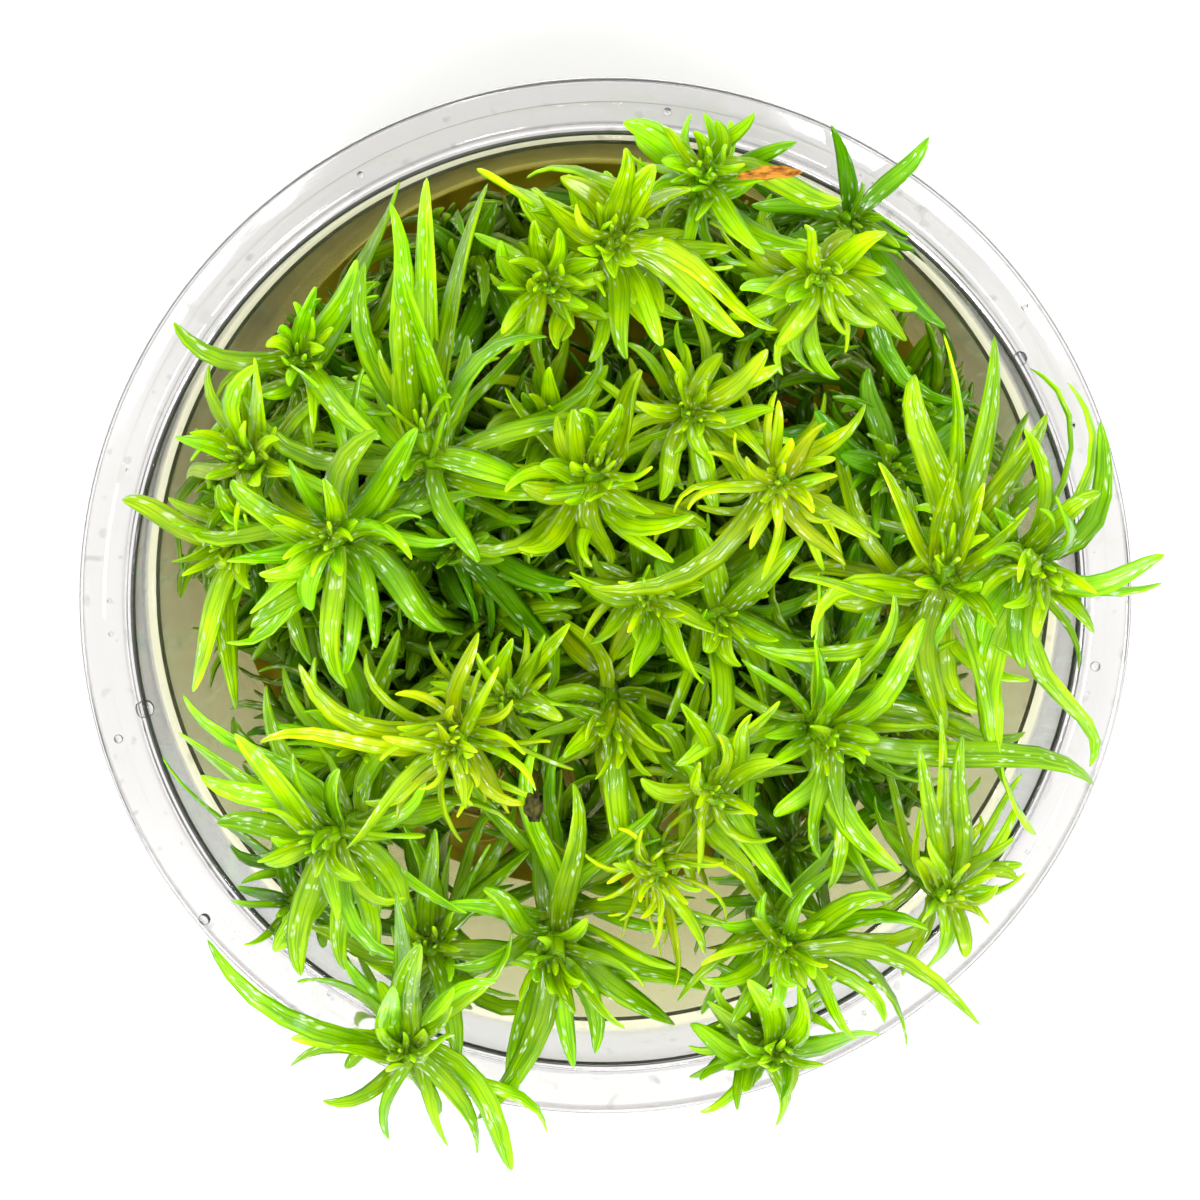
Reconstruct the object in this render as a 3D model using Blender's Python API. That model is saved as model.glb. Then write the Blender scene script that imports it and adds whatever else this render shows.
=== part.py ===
"""An open culture cup of Pogostemon deccanensis: clear cup, amber gel and the plantlets that stand in it.

Lengths are in millimetres in the tables and are scaled by MM where a mesh is made. The origin is the
middle of the cup's flat underside, +Z is up, and +Y is the side that the eye point leans towards.
"""
import math

import bpy
import numpy as np
from mathutils.bvhtree import BVHTree

MM = 0.001

# Cup: radii and heights of the turned profile
RIM_RADIUS = 50.0
RIM_HEIGHT = 62.0
BASE_RADIUS = 38.6
LEDGE_HEIGHT = 52.2
LEDGE_RADIUS = 43.1
THROAT_RADIUS = 44.7
WALL = 0.8
FLOOR = 1.1
SKIRT = 2.4
CUP_SIDES = 32
# The rounded corner between base and wall, outside and inside
FOOT_CORNER = 1.5
INNER_CORNER = 1.1
# The ledge's slope, the lid's seat on the flange, and the raised lip around the throat
LEDGE_SLOPE = 0.5
SEAT_WIDTH = 2.4
SEAT_DEPTH = 0.3
LIP_RISE = 0.5
LIP_WIDTH = 0.6
EDGE = 0.4

# Gel: it stands lower in the middle than where it climbs at the wall
GEL_HEIGHT = 16.0
GEL_CLIMB = 0.7
GEL_RAMP = 1.6
GEL_SIDES = 32
GAP = 0.35

# Plantlets: stems
STEM_RADIUS = 1.15
STEM_TAPER = 0.06
STEM_SIDES = 6
FOOT_PULL = 0.45
HEAD_PULL = 0.35
PLAIN_RINGS = 2
WHORLS = 3
FEW_WHORLS = 2
FEW_TIPS = 8
WHORL_HEIGHT = 1.3
WHORL_SPACING = 3.4
BUD_HEIGHT = 2.6

# Plantlets: leaves, and the fillers that grow where the photographed side shows few
LEAF_THICKNESS = 0.75
START_OUTWARD = 0.15
START_PULL = 0.36
END_PULL = 0.34
FOOT_SHARE = 0.3
SHORTER = 0.8
SOCKET_SHARE = 0.25
CLEARANCE = 0.2
LONG_LEAF = 20.0
FEWEST_LEAVES = 7
FILLER_TURN = 10.0
FILLER_SHORTEST = 0.7
FILLER_DROOP = 1.5
LOW_SPREAD = 100.0
SPREAD_PER_WHORL = 24.0
WIDE_SPREAD = 110.0
WHORL_WEIGHT = 0.3

# Low shoots: they stand between the stems of the tall plantlets. Each has its name, the place of its head
# and the length of its leaves.
LOW_SHOOTS = [
    ("low_shoot_west", (-29.0, -5.0, 42.0), 11.0),
    ("low_shoot_northwest", (-22.0, 17.0, 50.0), 11.0),
    ("low_shoot_north", (-12.0, 30.0, 48.0), 11.0),
    ("low_shoot_northeast", (12.0, 24.0, 48.0), 11.0),
    ("low_shoot_east", (24.0, 8.0, 44.0), 11.0),
    ("low_shoot_southeast", (24.0, -17.0, 52.0), 11.0),
    ("low_shoot_southwest", (-26.5, -15.0, 44.0), 9.0),
    ("low_shoot_centre", (-5.0, 5.0, 46.0), 11.0),
    ("low_shoot_centre_west", (-17.0, 4.0, 52.0), 11.0),
    ("low_shoot_centre_east", (8.0, -6.0, 46.0), 11.0),
]
LOW_WHORLS = 1
LOW_RADIUS = 0.9
LOW_FOOT = 0.85
LOW_LEAN = 0.004
LOW_WIDTH = 2.4
LOW_ARCH = 0.3
LOW_NARROW = 35.0
LOW_WIDE = 75.0
LOW_STEP = 1.0
LOW_TURNS = 8
LOW_RINGS = 7

# Loose pieces that lie on the leaves: place as seen, length and width, and how their sections change
WITHERED_LEAF = {"from": (12.0, 40.4), "to": (18.2, 41.8), "top": 92.0, "width": 1.7, "thickness": 0.5,
                 "sections": ((0.3, 0.8), (0.7, 1.0))}
DEAD_SCRAP = {"at": (-7.0, -19.3), "top": 84.0, "radii": (1.1, 1.7, 0.8), "sides": 6, "unevenness": 0.18,
              "levels": ((-0.45, 0.8, 0.0), (0.35, 1.0, 0.5)), "crest": (0.2, 0.1, 1.0)}
SETTLE_STEP = 0.25

# The places of the heads and tips are read in the plane of the rim, looking down from this eye point.
EYE = np.array([-12.3, 74.9, 475.2])

# Green tones: base colour of each
TONES = {
    "bright": (0.42, 0.68, 0.03),
    "mid": (0.28, 0.52, 0.02),
    "deep": (0.16, 0.38, 0.02),
    "yellow": (0.62, 0.74, 0.04),
}

# Each plantlet: name, tone, head (x, y as seen, z), foot (x, y, and z where it isn't in the gel), lean of the
# head (x, y), leaf length and width, arch, sideways swirl, and the tips of the leaves that show: x, y as seen,
# z, width, and the leaf's own swirl where it has one.
PLANTLETS = [
    ("plantlet_high_left", "mid", (-17.3, 17.0, 79), (-14, 13), (-0.15, 0.75), (17, 2.8), 0.2, 0.0, [
        (-20.3, 38.5, 86, 2.6), (-17.6, 39.3, 88, 2.8), (-12.6, 40.8, 86, 3.0), (-22.6, 33.0, 84, 2.6),
        (-15.4, 36.0, 90, 2.8), (-7.0, 11.5, 74, 3.0), (-6.5, 26.7, 76, 2.6), (-19.5, 29.0, 92, 2.6)]),
    ("plantlet_high_west", "mid", (-26.3, 6.8, 85), (-24, 4), (-0.1, 0.15), (14, 2.7), 0.4, 0.15, [
        (-17.8, 17.3, 84, 2.9), (-21.5, 17.0, 87, 3.0), (-36.0, 4.6, 86, 2.6), (-35.5, 1.3, 83, 2.2),
        (-33.0, 3.4, 88, 2.4), (-15.2, -2.2, 76, 2.6), (-22.4, -4.0, 79, 2.8), (-24.4, -6.2, 75, 2.4),
        (-17.5, 8.6, 82, 2.4), (-28.5, 0.5, 82, 2.2), (-26.8, 12.5, 93, 2.0)]),
    ("plantlet_west", "bright", (-34.3, 14.3, 74), (-31, 12), (-0.25, 0.15), (11, 2.3), 0.45, 0.0, [
        (-40.7, 16.5, 76, 2.4), (-33.1, 24.0, 80, 2.4), (-31.4, 24.7, 79, 2.2), (-37.3, 23.3, 70, 2.0),
        (-38.6, 17.3, 66, 1.8), (-32.8, 11.8, 79, 2.2), (-30.0, 13.0, 76, 2.2), (-39.6, 12.4, 66, 1.8)]),
    ("plantlet_northwest", "mid", (-28.6, 24.0, 70), (-26, 20), (0.1, 0.5), (13, 2.2), 0.4, 0.0, [
        (-23.4, 33.2, 77, 2.4), (-19.4, 40.4, 68, 2.8), (-27.3, 30.6, 80, 2.0), (-21.3, 16.2, 84, 2.4),
        (-21.6, 31.0, 72, 2.2), (-30.6, 27.0, 72, 2.0)]),
    ("plantlet_far_west", "bright", (-35.3, 6.5, 70), (-33, 3), (-0.3, -0.1), (12, 2.4), 0.4, 0.0, [
        (-41.2, 4.6, 70, 2.8), (-41.4, 10.7, 66, 1.8), (-35.3, -9.8, 72, 3.0), (-36.9, -8.2, 68, 2.6),
        (-36.6, 12.0, 75, 2.4), (-38.3, -1.5, 60, 2.0)]),
    ("plantlet_southwest_high", "mid", (-27.5, -22.5, 82), (-25, -19), (-0.35, 0.1), (14, 2.8), 0.4, 0.0, [
        (-40.3, -8.2, 78, 2.4), (-40.6, -11.4, 77, 2.4), (-39.0, -14.6, 80, 2.6), (-35.5, -12.0, 85, 2.6),
        (-37.3, -20.8, 77, 2.6), (-32.0, -33.5, 72, 3.0), (-28.6, -35.0, 71, 2.8), (-25.2, -35.3, 73, 2.4),
        (-22.6, -34.0, 76, 2.2), (-20.3, -29.5, 78, 2.8), (-25.5, -15.5, 86, 2.4)]),
    ("plantlet_wall_southwest", "deep", (-30.0, -29.0, 60), (-26.5, -23), (-0.3, -0.1), (12, 2.2), 0.2, 0.0, [
        (-42.4, -14.2, 67, 1.9), (-35.5, -27.0, 65, 2.0), (-31.5, -34.5, 64, 2.0)]),
    ("plantlet_yellow_star", "yellow", (-14.6, -13.6, 85), (-13, -11), (-0.05, 0.05), (9, 1.9), 0.4, 0.0, [
        (-29.3, -5.2, 84, 3.2), (-33.2, -13.0, 80, 2.2), (-21.7, -14.8, 83, 1.8), (-21.5, -12.4, 86, 1.8),
        (-23.3, -18.7, 81, 2.2), (-24.6, -22.6, 78, 2.0), (-20.1, -20.5, 79, 1.8), (-9.4, -20.0, 80, 1.9),
        (-7.6, -19.0, 83, 1.8), (-7.8, -14.3, 84, 1.9), (-12.2, -2.3, 84, 2.3), (-10.3, -5.6, 86, 1.9),
        (-13.5, -19.5, 82, 1.8)]),
    ("plantlet_small_centre_west", "bright", (-9.6, -9.0, 70), (-8, -6), (0.0, 0.3), (7, 1.8), 0.2, 0.0, [
        (-9.0, -2.9, 77, 2.0), (-6.4, -3.2, 76, 2.2), (-3.5, -1.5, 73, 1.8), (-15.8, -8.0, 67, 1.8),
        (-8.0, -5.0, 79, 1.6)]),
    ("plantlet_over_rim_southwest", "mid", (-19.4, -43.5, 78), (-17, -30), (0.0, 0.35), (14, 2.4), 0.35, 0.1, [
        (-20.2, -27.8, 95, 3.4), (-17.4, -30.4, 93, 3.2), (-22.4, -33.0, 92, 2.8), (-38.4, -32.1, 80, 2.2),
        (-30.5, -42.0, 79, 2.4), (-29.9, -44.7, 76, 2.2), (-27.5, -48.3, 72, 1.8), (-21.1, -52.3, 70, 1.6),
        (-15.4, -53.0, 71, 1.5), (-12.6, -53.8, 72, 2.2), (-9.7, -55.2, 69, 2.6), (-14.9, -38.9, 85, 1.6)]),
    ("plantlet_south", "mid", (-5.0, -34.3, 71), (-5, -26), (0.0, -0.25), (15, 2.8), 0.35, 0.0, [
        (-15.5, -28.8, 72, 2.6), (-12.0, -27.3, 75, 2.4), (-15.0, -34.9, 70, 2.6), (9.5, -37.6, 68, 3.4),
        (6.5, -39.6, 64, 2.8), (-9.2, -48.5, 65, 2.6), (-3.2, -45.2, 65, 2.2), (-1.2, -43.8, 68, 2.4),
        (-12.6, -50.3, 68, 3.0), (-6.6, -13.2, 72, 2.6), (-3.3, -17.0, 75, 2.8)]),
    ("plantlet_curled_south", "yellow", (4.8, -26.3, 74), (4, -21), (0.0, 0.0), (9, 1.3), 0.6, 0.5, [
        (-2.6, -23.5, 72, 1.3), (-1.0, -28.5, 70, 1.3), (3.2, -30.4, 69, 1.3), (6.4, -37.4, 68, 1.7),
        (9.4, -34.0, 68, 1.8), (0.5, -25.0, 76, 1.3), (3.4, -21.6, 76, 1.3)]),
    ("plantlet_centre_south", "bright", (0.3, -11.5, 68), (1, -9), (0.0, -0.3), (12, 2.6), 0.35, 0.0, [
        (-1.5, -25.5, 63, 3.0), (1.8, -25.8, 66, 2.6), (5.4, -24.3, 62, 2.8), (-4.2, -14.6, 71, 2.2),
        (7.4, -11.6, 71, 2.0), (-8.2, -10.2, 67, 1.9)]),
    ("plantlet_rosette_south", "bright", (10.3, -18.3, 76), (9, -15), (0.1, 0.15), (9, 2.0), 0.1, 0.0, [
        (3.2, -16.6, 77, 2.2), (7.0, -9.3, 80, 2.0), (10.5, -12.3, 84, 2.0), (13.8, -10.4, 80, 2.0),
        (16.6, -15.2, 80, 2.0), (15.3, -12.5, 84, 1.9), (4.2, -11.5, 77, 2.0), (11.3, -25.5, 66, 2.6),
        (13.9, -26.5, 67, 2.6), (8.3, -24.0, 65, 2.4), (17.8, -28.5, 72, 2.6)]),
    ("plantlet_star_southeast", "mid", (21.3, -13.3, 78), (19, -11), (0.1, 0.0), (13, 2.2), 0.3, 0.0, [
        (27.2, 1.2, 79, 2.6), (24.0, -5.0, 84, 2.0), (19.7, -3.2, 80, 2.2), (30.2, -0.5, 76, 2.6),
        (15.0, -12.6, 76, 1.8), (15.6, -15.6, 74, 2.0), (16.0, -20.0, 71, 2.4), (26.8, -29.4, 70, 2.4),
        (28.4, -26.0, 74, 2.8), (20.6, -24.7, 71, 2.2), (22.6, -21.5, 76, 2.2), (40.0, -12.3, 66, 2.4),
        (46.7, -17.6, 66, 2.8)]),
    ("plantlet_swirl_east", "mid", (41.3, 3.3, 82), (34, 0), (0.15, -0.1), (13, 2.2), 0.35, -0.5, [
        (43.4, 21.3, 79, 1.9, -1.0), (46.2, 18.0, 78, 2.4, -1.0), (52.8, 2.1, 75, 1.5), (53.0, 4.8, 79, 2.4),
        (46.8, 10.8, 83, 2.4, 0.6), (46.4, -2.8, 81, 2.6), (35.6, -3.6, 79, 2.0), (41.2, -22.4, 68, 3.0),
        (46.2, -15.8, 68, 2.2), (36.6, 9.4, 86, 2.0), (42.5, 10.5, 88, 2.0), (39.5, -6.0, 78, 2.2)]),
    ("plantlet_tall_east", "bright", (32.3, 4.0, 78), (28, 1), (0.0, 0.6), (17, 3.0), 0.15, 0.0, [
        (29.0, 22.2, 84, 3.4), (31.6, 26.0, 80, 2.4), (36.4, 25.8, 78, 2.6), (41.5, 18.4, 76, 2.6),
        (33.0, 13.8, 91, 1.8), (35.7, 11.8, 90, 1.6), (32.3, -12.5, 71, 3.0), (35.7, -14.6, 70, 2.8)]),
    ("plantlet_northeast_low", "deep", (26.7, 12.6, 66), (24, 11), (0.0, 0.1), (11, 2.6), 0.35, 0.0, [
        (19.5, 18.8, 69, 3.0), (22.0, 14.5, 70, 2.4), (33.0, 17.5, 66, 2.2), (28.3, 6.5, 62, 2.6),
        (22.0, 9.0, 64, 2.2)]),
    ("plantlet_bright_star_east", "yellow", (16.3, 11.8, 82), (15, 9), (0.0, 0.1), (10, 2.3), 0.25, 0.0, [
        (20.7, 17.6, 86, 2.2), (22.9, 17.4, 83, 2.0), (16.1, 19.8, 84, 1.6), (24.8, 6.4, 80, 2.8),
        (22.6, 3.9, 80, 2.4), (21.8, 12.5, 84, 1.8), (-1.8, 2.0, 79, 3.2), (12.5, 6.0, 78, 2.0)]),
    ("plantlet_centre_north", "bright", (8.0, 18.6, 76), (8, 15), (0.0, 0.1), (9, 2.0), 0.3, 0.0, [
        (15.1, 24.6, 78, 2.4), (14.9, 22.3, 80, 2.2), (15.6, 19.9, 75, 2.0), (5.0, 10.2, 74, 2.2),
        (7.4, 9.0, 73, 2.4), (10.0, 13.0, 75, 1.8), (15.4, 13.6, 78, 2.0), (10.8, 24.2, 73, 2.0)]),
    ("plantlet_centre_bud", "bright", (-0.8, 13.2, 78), (-1, 10), (0.15, 0.45), (11, 3.0), 0.15, 0.0, [
        (3.3, 22.6, 86, 3.4), (1.2, 19.5, 91, 3.0), (-2.2, 18.5, 86, 2.6), (-8.2, 11.9, 78, 2.4),
        (9.5, 7.6, 71, 2.6), (4.5, 9.0, 77, 2.2), (0.3, 4.0, 70, 2.6)]),
    ("plantlet_north_star", "bright", (-5.4, 30.8, 77), (-5, 26), (0.0, 0.1), (8, 2.2), 0.3, 0.0, [
        (-6.8, 36.8, 84, 2.2), (-4.6, 36.0, 84, 1.8), (-0.8, 33.0, 81, 2.0), (-10.2, 30.4, 78, 2.2),
        (-10.2, 33.4, 78, 2.4), (-12.8, 23.3, 71, 2.0), (-7.8, 25.0, 74, 2.0), (-4.6, 24.6, 74, 2.2),
        (-1.8, 28.6, 79, 2.0)]),
    ("plantlet_north_bud", "bright", (0.6, 35.2, 83), (1, 30), (0.05, 0.25), (10, 2.8), 0.2, 0.0, [
        (-12.2, 41.6, 79, 3.0), (-7.8, 38.2, 85, 2.8), (-4.4, 40.8, 80, 2.6), (1.6, 43.5, 91, 3.0),
        (4.4, 42.0, 89, 3.0), (7.9, 39.6, 86, 2.6), (1.9, 23.6, 82, 2.4), (3.0, 29.0, 79, 2.2),
        (9.2, 36.4, 81, 2.6), (12.9, 25.8, 78, 2.6), (16.1, 26.4, 77, 2.6)]),
    ("plantlet_north_rim", "mid", (9.3, 41.5, 80), (8, 33), (0.0, 0.25), (9, 2.4), 0.3, 0.0, [
        (1.4, 45.8, 83, 3.0), (13.7, 46.7, 80, 1.8), (17.7, 44.0, 79, 2.0), (17.4, 41.5, 84, 2.6),
        (20.2, 34.0, 80, 2.6), (22.0, 38.5, 75, 2.4), (14.8, 33.5, 81, 2.4), (3.9, 39.2, 80, 2.4),
        (-7.6, 40.6, 70, 2.0)]),
    ("plantlet_northeast", "bright", (20.2, 31.4, 80), (18, 27), (0.0, 0.05), (8, 2.5), 0.3, 0.0, [
        (12.4, 30.2, 80, 2.6), (16.2, 33.8, 83, 2.2), (26.2, 35.5, 82, 2.6), (9.4, 36.6, 77, 3.0),
        (29.2, 28.3, 76, 2.6), (28.0, 25.4, 75, 2.6), (19.5, 22.3, 74, 3.0), (16.2, 28.6, 83, 2.2),
        (26.8, 31.8, 79, 2.4)]),
    ("plantlet_wall_northeast", "deep", (23.0, 36.5, 66), (19, 29.5), (0.3, -0.1), (13, 2.0), 0.15, -0.2, [
        (28.8, 34.0, 70, 1.8), (31.9, 26.5, 66, 2.4), (33.6, 19.5, 62, 2.6)]),
    ("plantlet_southeast_tuft", "bright", (33.0, -28.0, 73), (27.5, -22), (0.05, 0.3), (12, 2.0), 0.25, 0.0, [
        (29.8, -13.6, 83, 2.0), (31.8, -10.4, 80, 2.0), (34.0, -12.5, 84, 2.0), (36.2, -13.5, 81, 1.8),
        (39.1, -22.6, 74, 2.0), (30.7, -35.6, 68, 2.2, 0.9), (33.6, -34.6, 70, 1.8, 0.9), (37.6, -27.5, 72, 2.0)]),
    ("plantlet_rosette_southeast", "mid", (17.0, -33.5, 77), (17, -26), (0.0, 0.1), (11, 2.4), 0.35, 0.2, [
        (31.0, -31.8, 77, 2.4), (27.6, -28.6, 79, 2.4), (26.8, -41.0, 69, 1.8, 0.6), (29.0, -43.3, 68, 1.8, 0.6),
        (36.1, -41.3, 74, 2.4), (12.0, -40.9, 72, 2.2), (24.1, -42.6, 74, 2.0), (20.0, -27.4, 85, 1.6),
        (11.0, -31.0, 74, 2.2)]),
    ("plantlet_on_rim_south", "mid", (16.4, -44.0, 70), (14.8, -41.8, 63), (0.0, 0.3), (10, 2.6), 0.3, 0.0, [
        (26.5, -42.2, 70, 2.8), (16.4, -51.2, 65, 2.2), (13.6, -36.5, 77, 3.0), (18.4, -37.0, 78, 2.4),
        (9.6, -38.6, 70, 2.4), (21.0, -38.0, 76, 2.2)]),
    ("plantlet_small_north", "bright", (-5.4, 17.4, 67), (-5, 14), (0.0, 0.1), (7, 1.9), 0.3, 0.0, [
        (-5.4, 23.0, 72, 2.2), (-7.9, 12.4, 70, 2.0), (-11.6, 16.4, 69, 2.0, -0.6), (-3.4, 15.4, 70, 1.8),
        (-8.0, 20.6, 71, 1.8)]),
    ("plantlet_small_west", "mid", (-23.0, -13.5, 66), (-21, -10), (0.0, 0.2), (12, 2.2), 0.2, 0.0, [
        (-26.5, -3.5, 68, 2.4), (-19.8, -2.0, 70, 2.2), (-30.5, -16.5, 66, 2.2), (-25.5, -19.0, 68, 2.6),
        (-20.5, -23.0, 70, 2.6), (-29.0, -10.0, 68, 2.2)]),
    ("plantlet_centre", "bright", (3.8, 0.5, 73), (3, -1), (0.0, 0.0), (8, 2.4), 0.25, 0.0, [
        (2.2, -6.8, 74, 3.0), (9.3, 2.0, 77, 2.2), (9.3, -7.5, 72, 3.0), (3.2, 4.5, 80, 1.8),
        (-1.5, -3.5, 72, 2.0)]),
    ("plantlet_broad_east", "mid", (10.8, -1.0, 70), (11, -3), (0.2, -0.1), (11, 3.2), 0.3, 0.0, [
        (20.6, -3.4, 67, 3.2), (19.0, -7.2, 64, 3.2), (8.0, -14.0, 78, 2.6), (15.6, 5.0, 71, 2.2),
        (16.5, -11.5, 62, 3.0)]),
    ("plantlet_low_west", "deep", (-14.0, 6.0, 63), (-12, 4), (0.0, 0.1), (11, 2.2), 0.3, 0.0, [
        (-2.7, 2.4, 63, 2.8), (-4.6, -0.4, 60, 2.2), (-17.8, 8.5, 66, 2.0), (-13.8, 10.5, 68, 1.8),
        (-12.5, -1.5, 61, 1.8), (-20.0, 5.6, 65, 2.0), (-4.0, -4.5, 58, 2.6)]),
    ("plantlet_low_southwest", "mid", (-17.0, -33.0, 66), (-16, -26), (0.0, 0.4), (13, 2.4), 0.15, 0.0, [
        (-16.4, -21.4, 80, 2.2), (-19.6, -21.0, 74, 2.8), (-13.6, -38.0, 66, 2.2)]),
    ("plantlet_low_east", "deep", (21.6, -4.5, 58), (21, -2), (0.2, 0.5), (12, 2.4), 0.15, 0.0, [
        (27.7, 9.6, 61, 2.8), (19.8, 5.0, 62, 2.2), (23.6, 7.0, 62, 2.2)]),
]


def clear_scene():
    """Remove every object that the scene holds."""
    for thing in list(bpy.data.objects):
        bpy.data.objects.remove(thing, do_unlink=True)


def plain_material(name, colour, roughness, alpha=1.0):
    """A Principled material of one colour."""
    material = bpy.data.materials.new(name)
    material.use_nodes = True
    shader = material.node_tree.nodes["Principled BSDF"]
    shader.inputs["Base Color"].default_value = (*colour, 1.0)
    shader.inputs["Roughness"].default_value = roughness
    shader.inputs["Metallic"].default_value = 0.0
    shader.inputs["Alpha"].default_value = alpha
    return material


def add_object(name, points, faces, material):
    """One named object from points in millimetres and their faces."""
    mesh = bpy.data.meshes.new(name)
    mesh.from_pydata((np.asarray(points) * MM).tolist(), [], faces)
    mesh.materials.append(material)
    thing = bpy.data.objects.new(name, mesh)
    bpy.context.collection.objects.link(thing)
    return thing


def unit(vector):
    """The vector at length one."""
    return vector / math.sqrt(float(vector @ vector))


def turned(profile, sides):
    """Points and faces of a closed profile of (radius, height) turned about Z, from axis to axis."""
    angles = np.arange(sides) * (2.0 * math.pi / sides)
    points = [(0.0, 0.0, profile[0][1])]
    for radius, height in profile[1:-1]:
        points += [(radius * math.cos(a), radius * math.sin(a), height) for a in angles]
    points.append((0.0, 0.0, profile[-1][1]))
    faces = []
    rings = len(profile) - 2
    for side in range(sides):
        after = (side + 1) % sides
        faces.append((0, 1 + after, 1 + side))
        for ring in range(rings - 1):
            low = 1 + ring * sides
            high = low + sides
            faces.append((low + side, low + after, high + after, high + side))
        last = 1 + (rings - 1) * sides
        faces.append((last + side, last + after, len(points) - 1))
    return points, faces


def inner_radius(height):
    """Radius of the cup's main wall, inside, at a height."""
    corner = FLOOR + INNER_CORNER
    share = (height - corner) / (LEDGE_HEIGHT - corner)
    foot = BASE_RADIUS - WALL
    return foot + share * (LEDGE_RADIUS - foot)


def make_cup():
    """The thin-walled cup: flat base, tapering wall, ledge, throat, raised lip, flange and turned-down skirt."""
    flange_under = RIM_HEIGHT - WALL
    profile = [
        (0.0, 0.0),
        (BASE_RADIUS - FOOT_CORNER, 0.0),
        (BASE_RADIUS - EDGE, FOOT_CORNER / 3.0),
        (BASE_RADIUS, FOOT_CORNER),
        (LEDGE_RADIUS + WALL, LEDGE_HEIGHT - WALL),
        (LEDGE_RADIUS + 2.0 * WALL, LEDGE_HEIGHT - WALL + LEDGE_SLOPE),
        (THROAT_RADIUS + WALL, flange_under),
        (RIM_RADIUS - WALL, flange_under),
        (RIM_RADIUS - WALL, RIM_HEIGHT - SKIRT),
        (RIM_RADIUS, RIM_HEIGHT - SKIRT),
        (RIM_RADIUS, RIM_HEIGHT - EDGE),
        (RIM_RADIUS - EDGE, RIM_HEIGHT),
        (RIM_RADIUS - SEAT_WIDTH, RIM_HEIGHT),
        (THROAT_RADIUS + 2.0 * LIP_WIDTH, RIM_HEIGHT - SEAT_DEPTH),
        (THROAT_RADIUS + LIP_WIDTH, RIM_HEIGHT + LIP_RISE),
        (THROAT_RADIUS, RIM_HEIGHT + LIP_RISE),
        (LEDGE_RADIUS + WALL, LEDGE_HEIGHT + LEDGE_SLOPE),
        (LEDGE_RADIUS, LEDGE_HEIGHT),
        (inner_radius(FLOOR + INNER_CORNER), FLOOR + INNER_CORNER),
        (BASE_RADIUS - WALL - INNER_CORNER, FLOOR),
        (0.0, FLOOR),
    ]
    points, faces = turned(profile, CUP_SIDES)
    return add_object("cup", points, faces, plain_material("clear_plastic", (0.90, 0.92, 0.92), 0.12, 0.3))


def make_gel():
    """The culture gel: it fills the bottom of the cup and climbs a little at the wall."""
    bottom = FLOOR + GAP
    corner = FLOOR + 2.0 * INNER_CORNER
    top = inner_radius(GEL_HEIGHT) - 2.0 * GAP
    profile = [
        (0.0, bottom),
        (BASE_RADIUS - WALL - 1.5 * INNER_CORNER, bottom),
        (inner_radius(corner) - 1.5 * GAP, corner),
        (top, GEL_HEIGHT + GEL_CLIMB),
        (top - GEL_RAMP, GEL_HEIGHT),
        (0.0, GEL_HEIGHT),
    ]
    points, faces = turned(profile, GEL_SIDES)
    return add_object("agar_gel", points, faces, plain_material("agar_gel", (0.55, 0.36, 0.05), 0.15))


def seen(x, y, z):
    """A place read in the plane of the rim, carried along the line of sight to the height z."""
    share = (z - EYE[2]) / (RIM_HEIGHT - EYE[2])
    return EYE + (np.array([x, y, RIM_HEIGHT]) - EYE) * share


def bezier(corners, shares):
    """Points of the cubic curve on four corners, and its unit tangents."""
    t = np.asarray(shares)[:, None]
    a, b, c, d = corners
    points = a * (1 - t) ** 3 + b * 3 * t * (1 - t) ** 2 + c * 3 * t ** 2 * (1 - t) + d * t ** 3
    slopes = (b - a) * 3 * (1 - t) ** 2 + (c - b) * 6 * t * (1 - t) + (d - c) * 3 * t ** 2
    return points, slopes / np.sqrt((slopes ** 2).sum(axis=1))[:, None]


def grow_stem(head, foot, lean, whorls, stem_radius=STEM_RADIUS):
    """Rings of a six-sided stem from its foot to the head, and the side faces that leaves can grow from."""
    top_axis = unit(np.array([lean[0], lean[1], 1.0]))
    start = np.array(foot if len(foot) == 3 else (foot[0], foot[1], GEL_HEIGHT + GAP), dtype=float)
    rise = head[2] - start[2]
    corners = (start, start + (0.0, 0.0, FOOT_PULL * rise), head - top_axis * HEAD_PULL * rise, head)
    length = math.sqrt(float((head - start) @ (head - start)))
    low_whorl = 1.0 - ((whorls - 1) * WHORL_SPACING + WHORL_HEIGHT) / length
    shares = [0.0, 0.5 * low_whorl]
    for whorl in range(whorls):
        low = low_whorl + whorl * WHORL_SPACING / length
        shares += [low, low + WHORL_HEIGHT / length]
    centres, axes = bezier(corners, shares)
    across = unit(np.cross(axes[0], (0.3, 1.0, 0.1)))
    angles = np.arange(STEM_SIDES) * (2.0 * math.pi / STEM_SIDES)
    rings = []
    for index, (centre, axis) in enumerate(zip(centres, axes)):
        across = unit(across - axis * (across @ axis))
        whorl = (index - PLAIN_RINGS) // 2
        turn = angles + (math.pi / STEM_SIDES if whorl % 2 else 0.0)
        radius = stem_radius * (1.0 - STEM_TAPER * max(0, whorl))
        other = np.cross(axis, across)
        rings.append(centre + radius * (np.cos(turn)[:, None] * across + np.sin(turn)[:, None] * other))
    sockets = []
    for whorl in range(whorls):
        first = PLAIN_RINGS + 2 * whorl
        low, high = rings[first], rings[first + 1]
        axis = axes[first + 1]
        for side in range(STEM_SIDES):
            after = (side + 1) % STEM_SIDES
            base = (low[side] + low[after] + high[side] + high[after]) / 4.0
            radial = unit((high[side] + high[after]) / 2.0 - centres[first + 1])
            sockets.append({"whorl": whorl, "side": side, "base": base, "radial": radial, "axis": axis,
                            "leaf": None})
    return {"rings": rings, "top": head + top_axis * BUD_HEIGHT, "axis": top_axis, "head": head,
            "sockets": sockets, "whorls": whorls}


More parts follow.
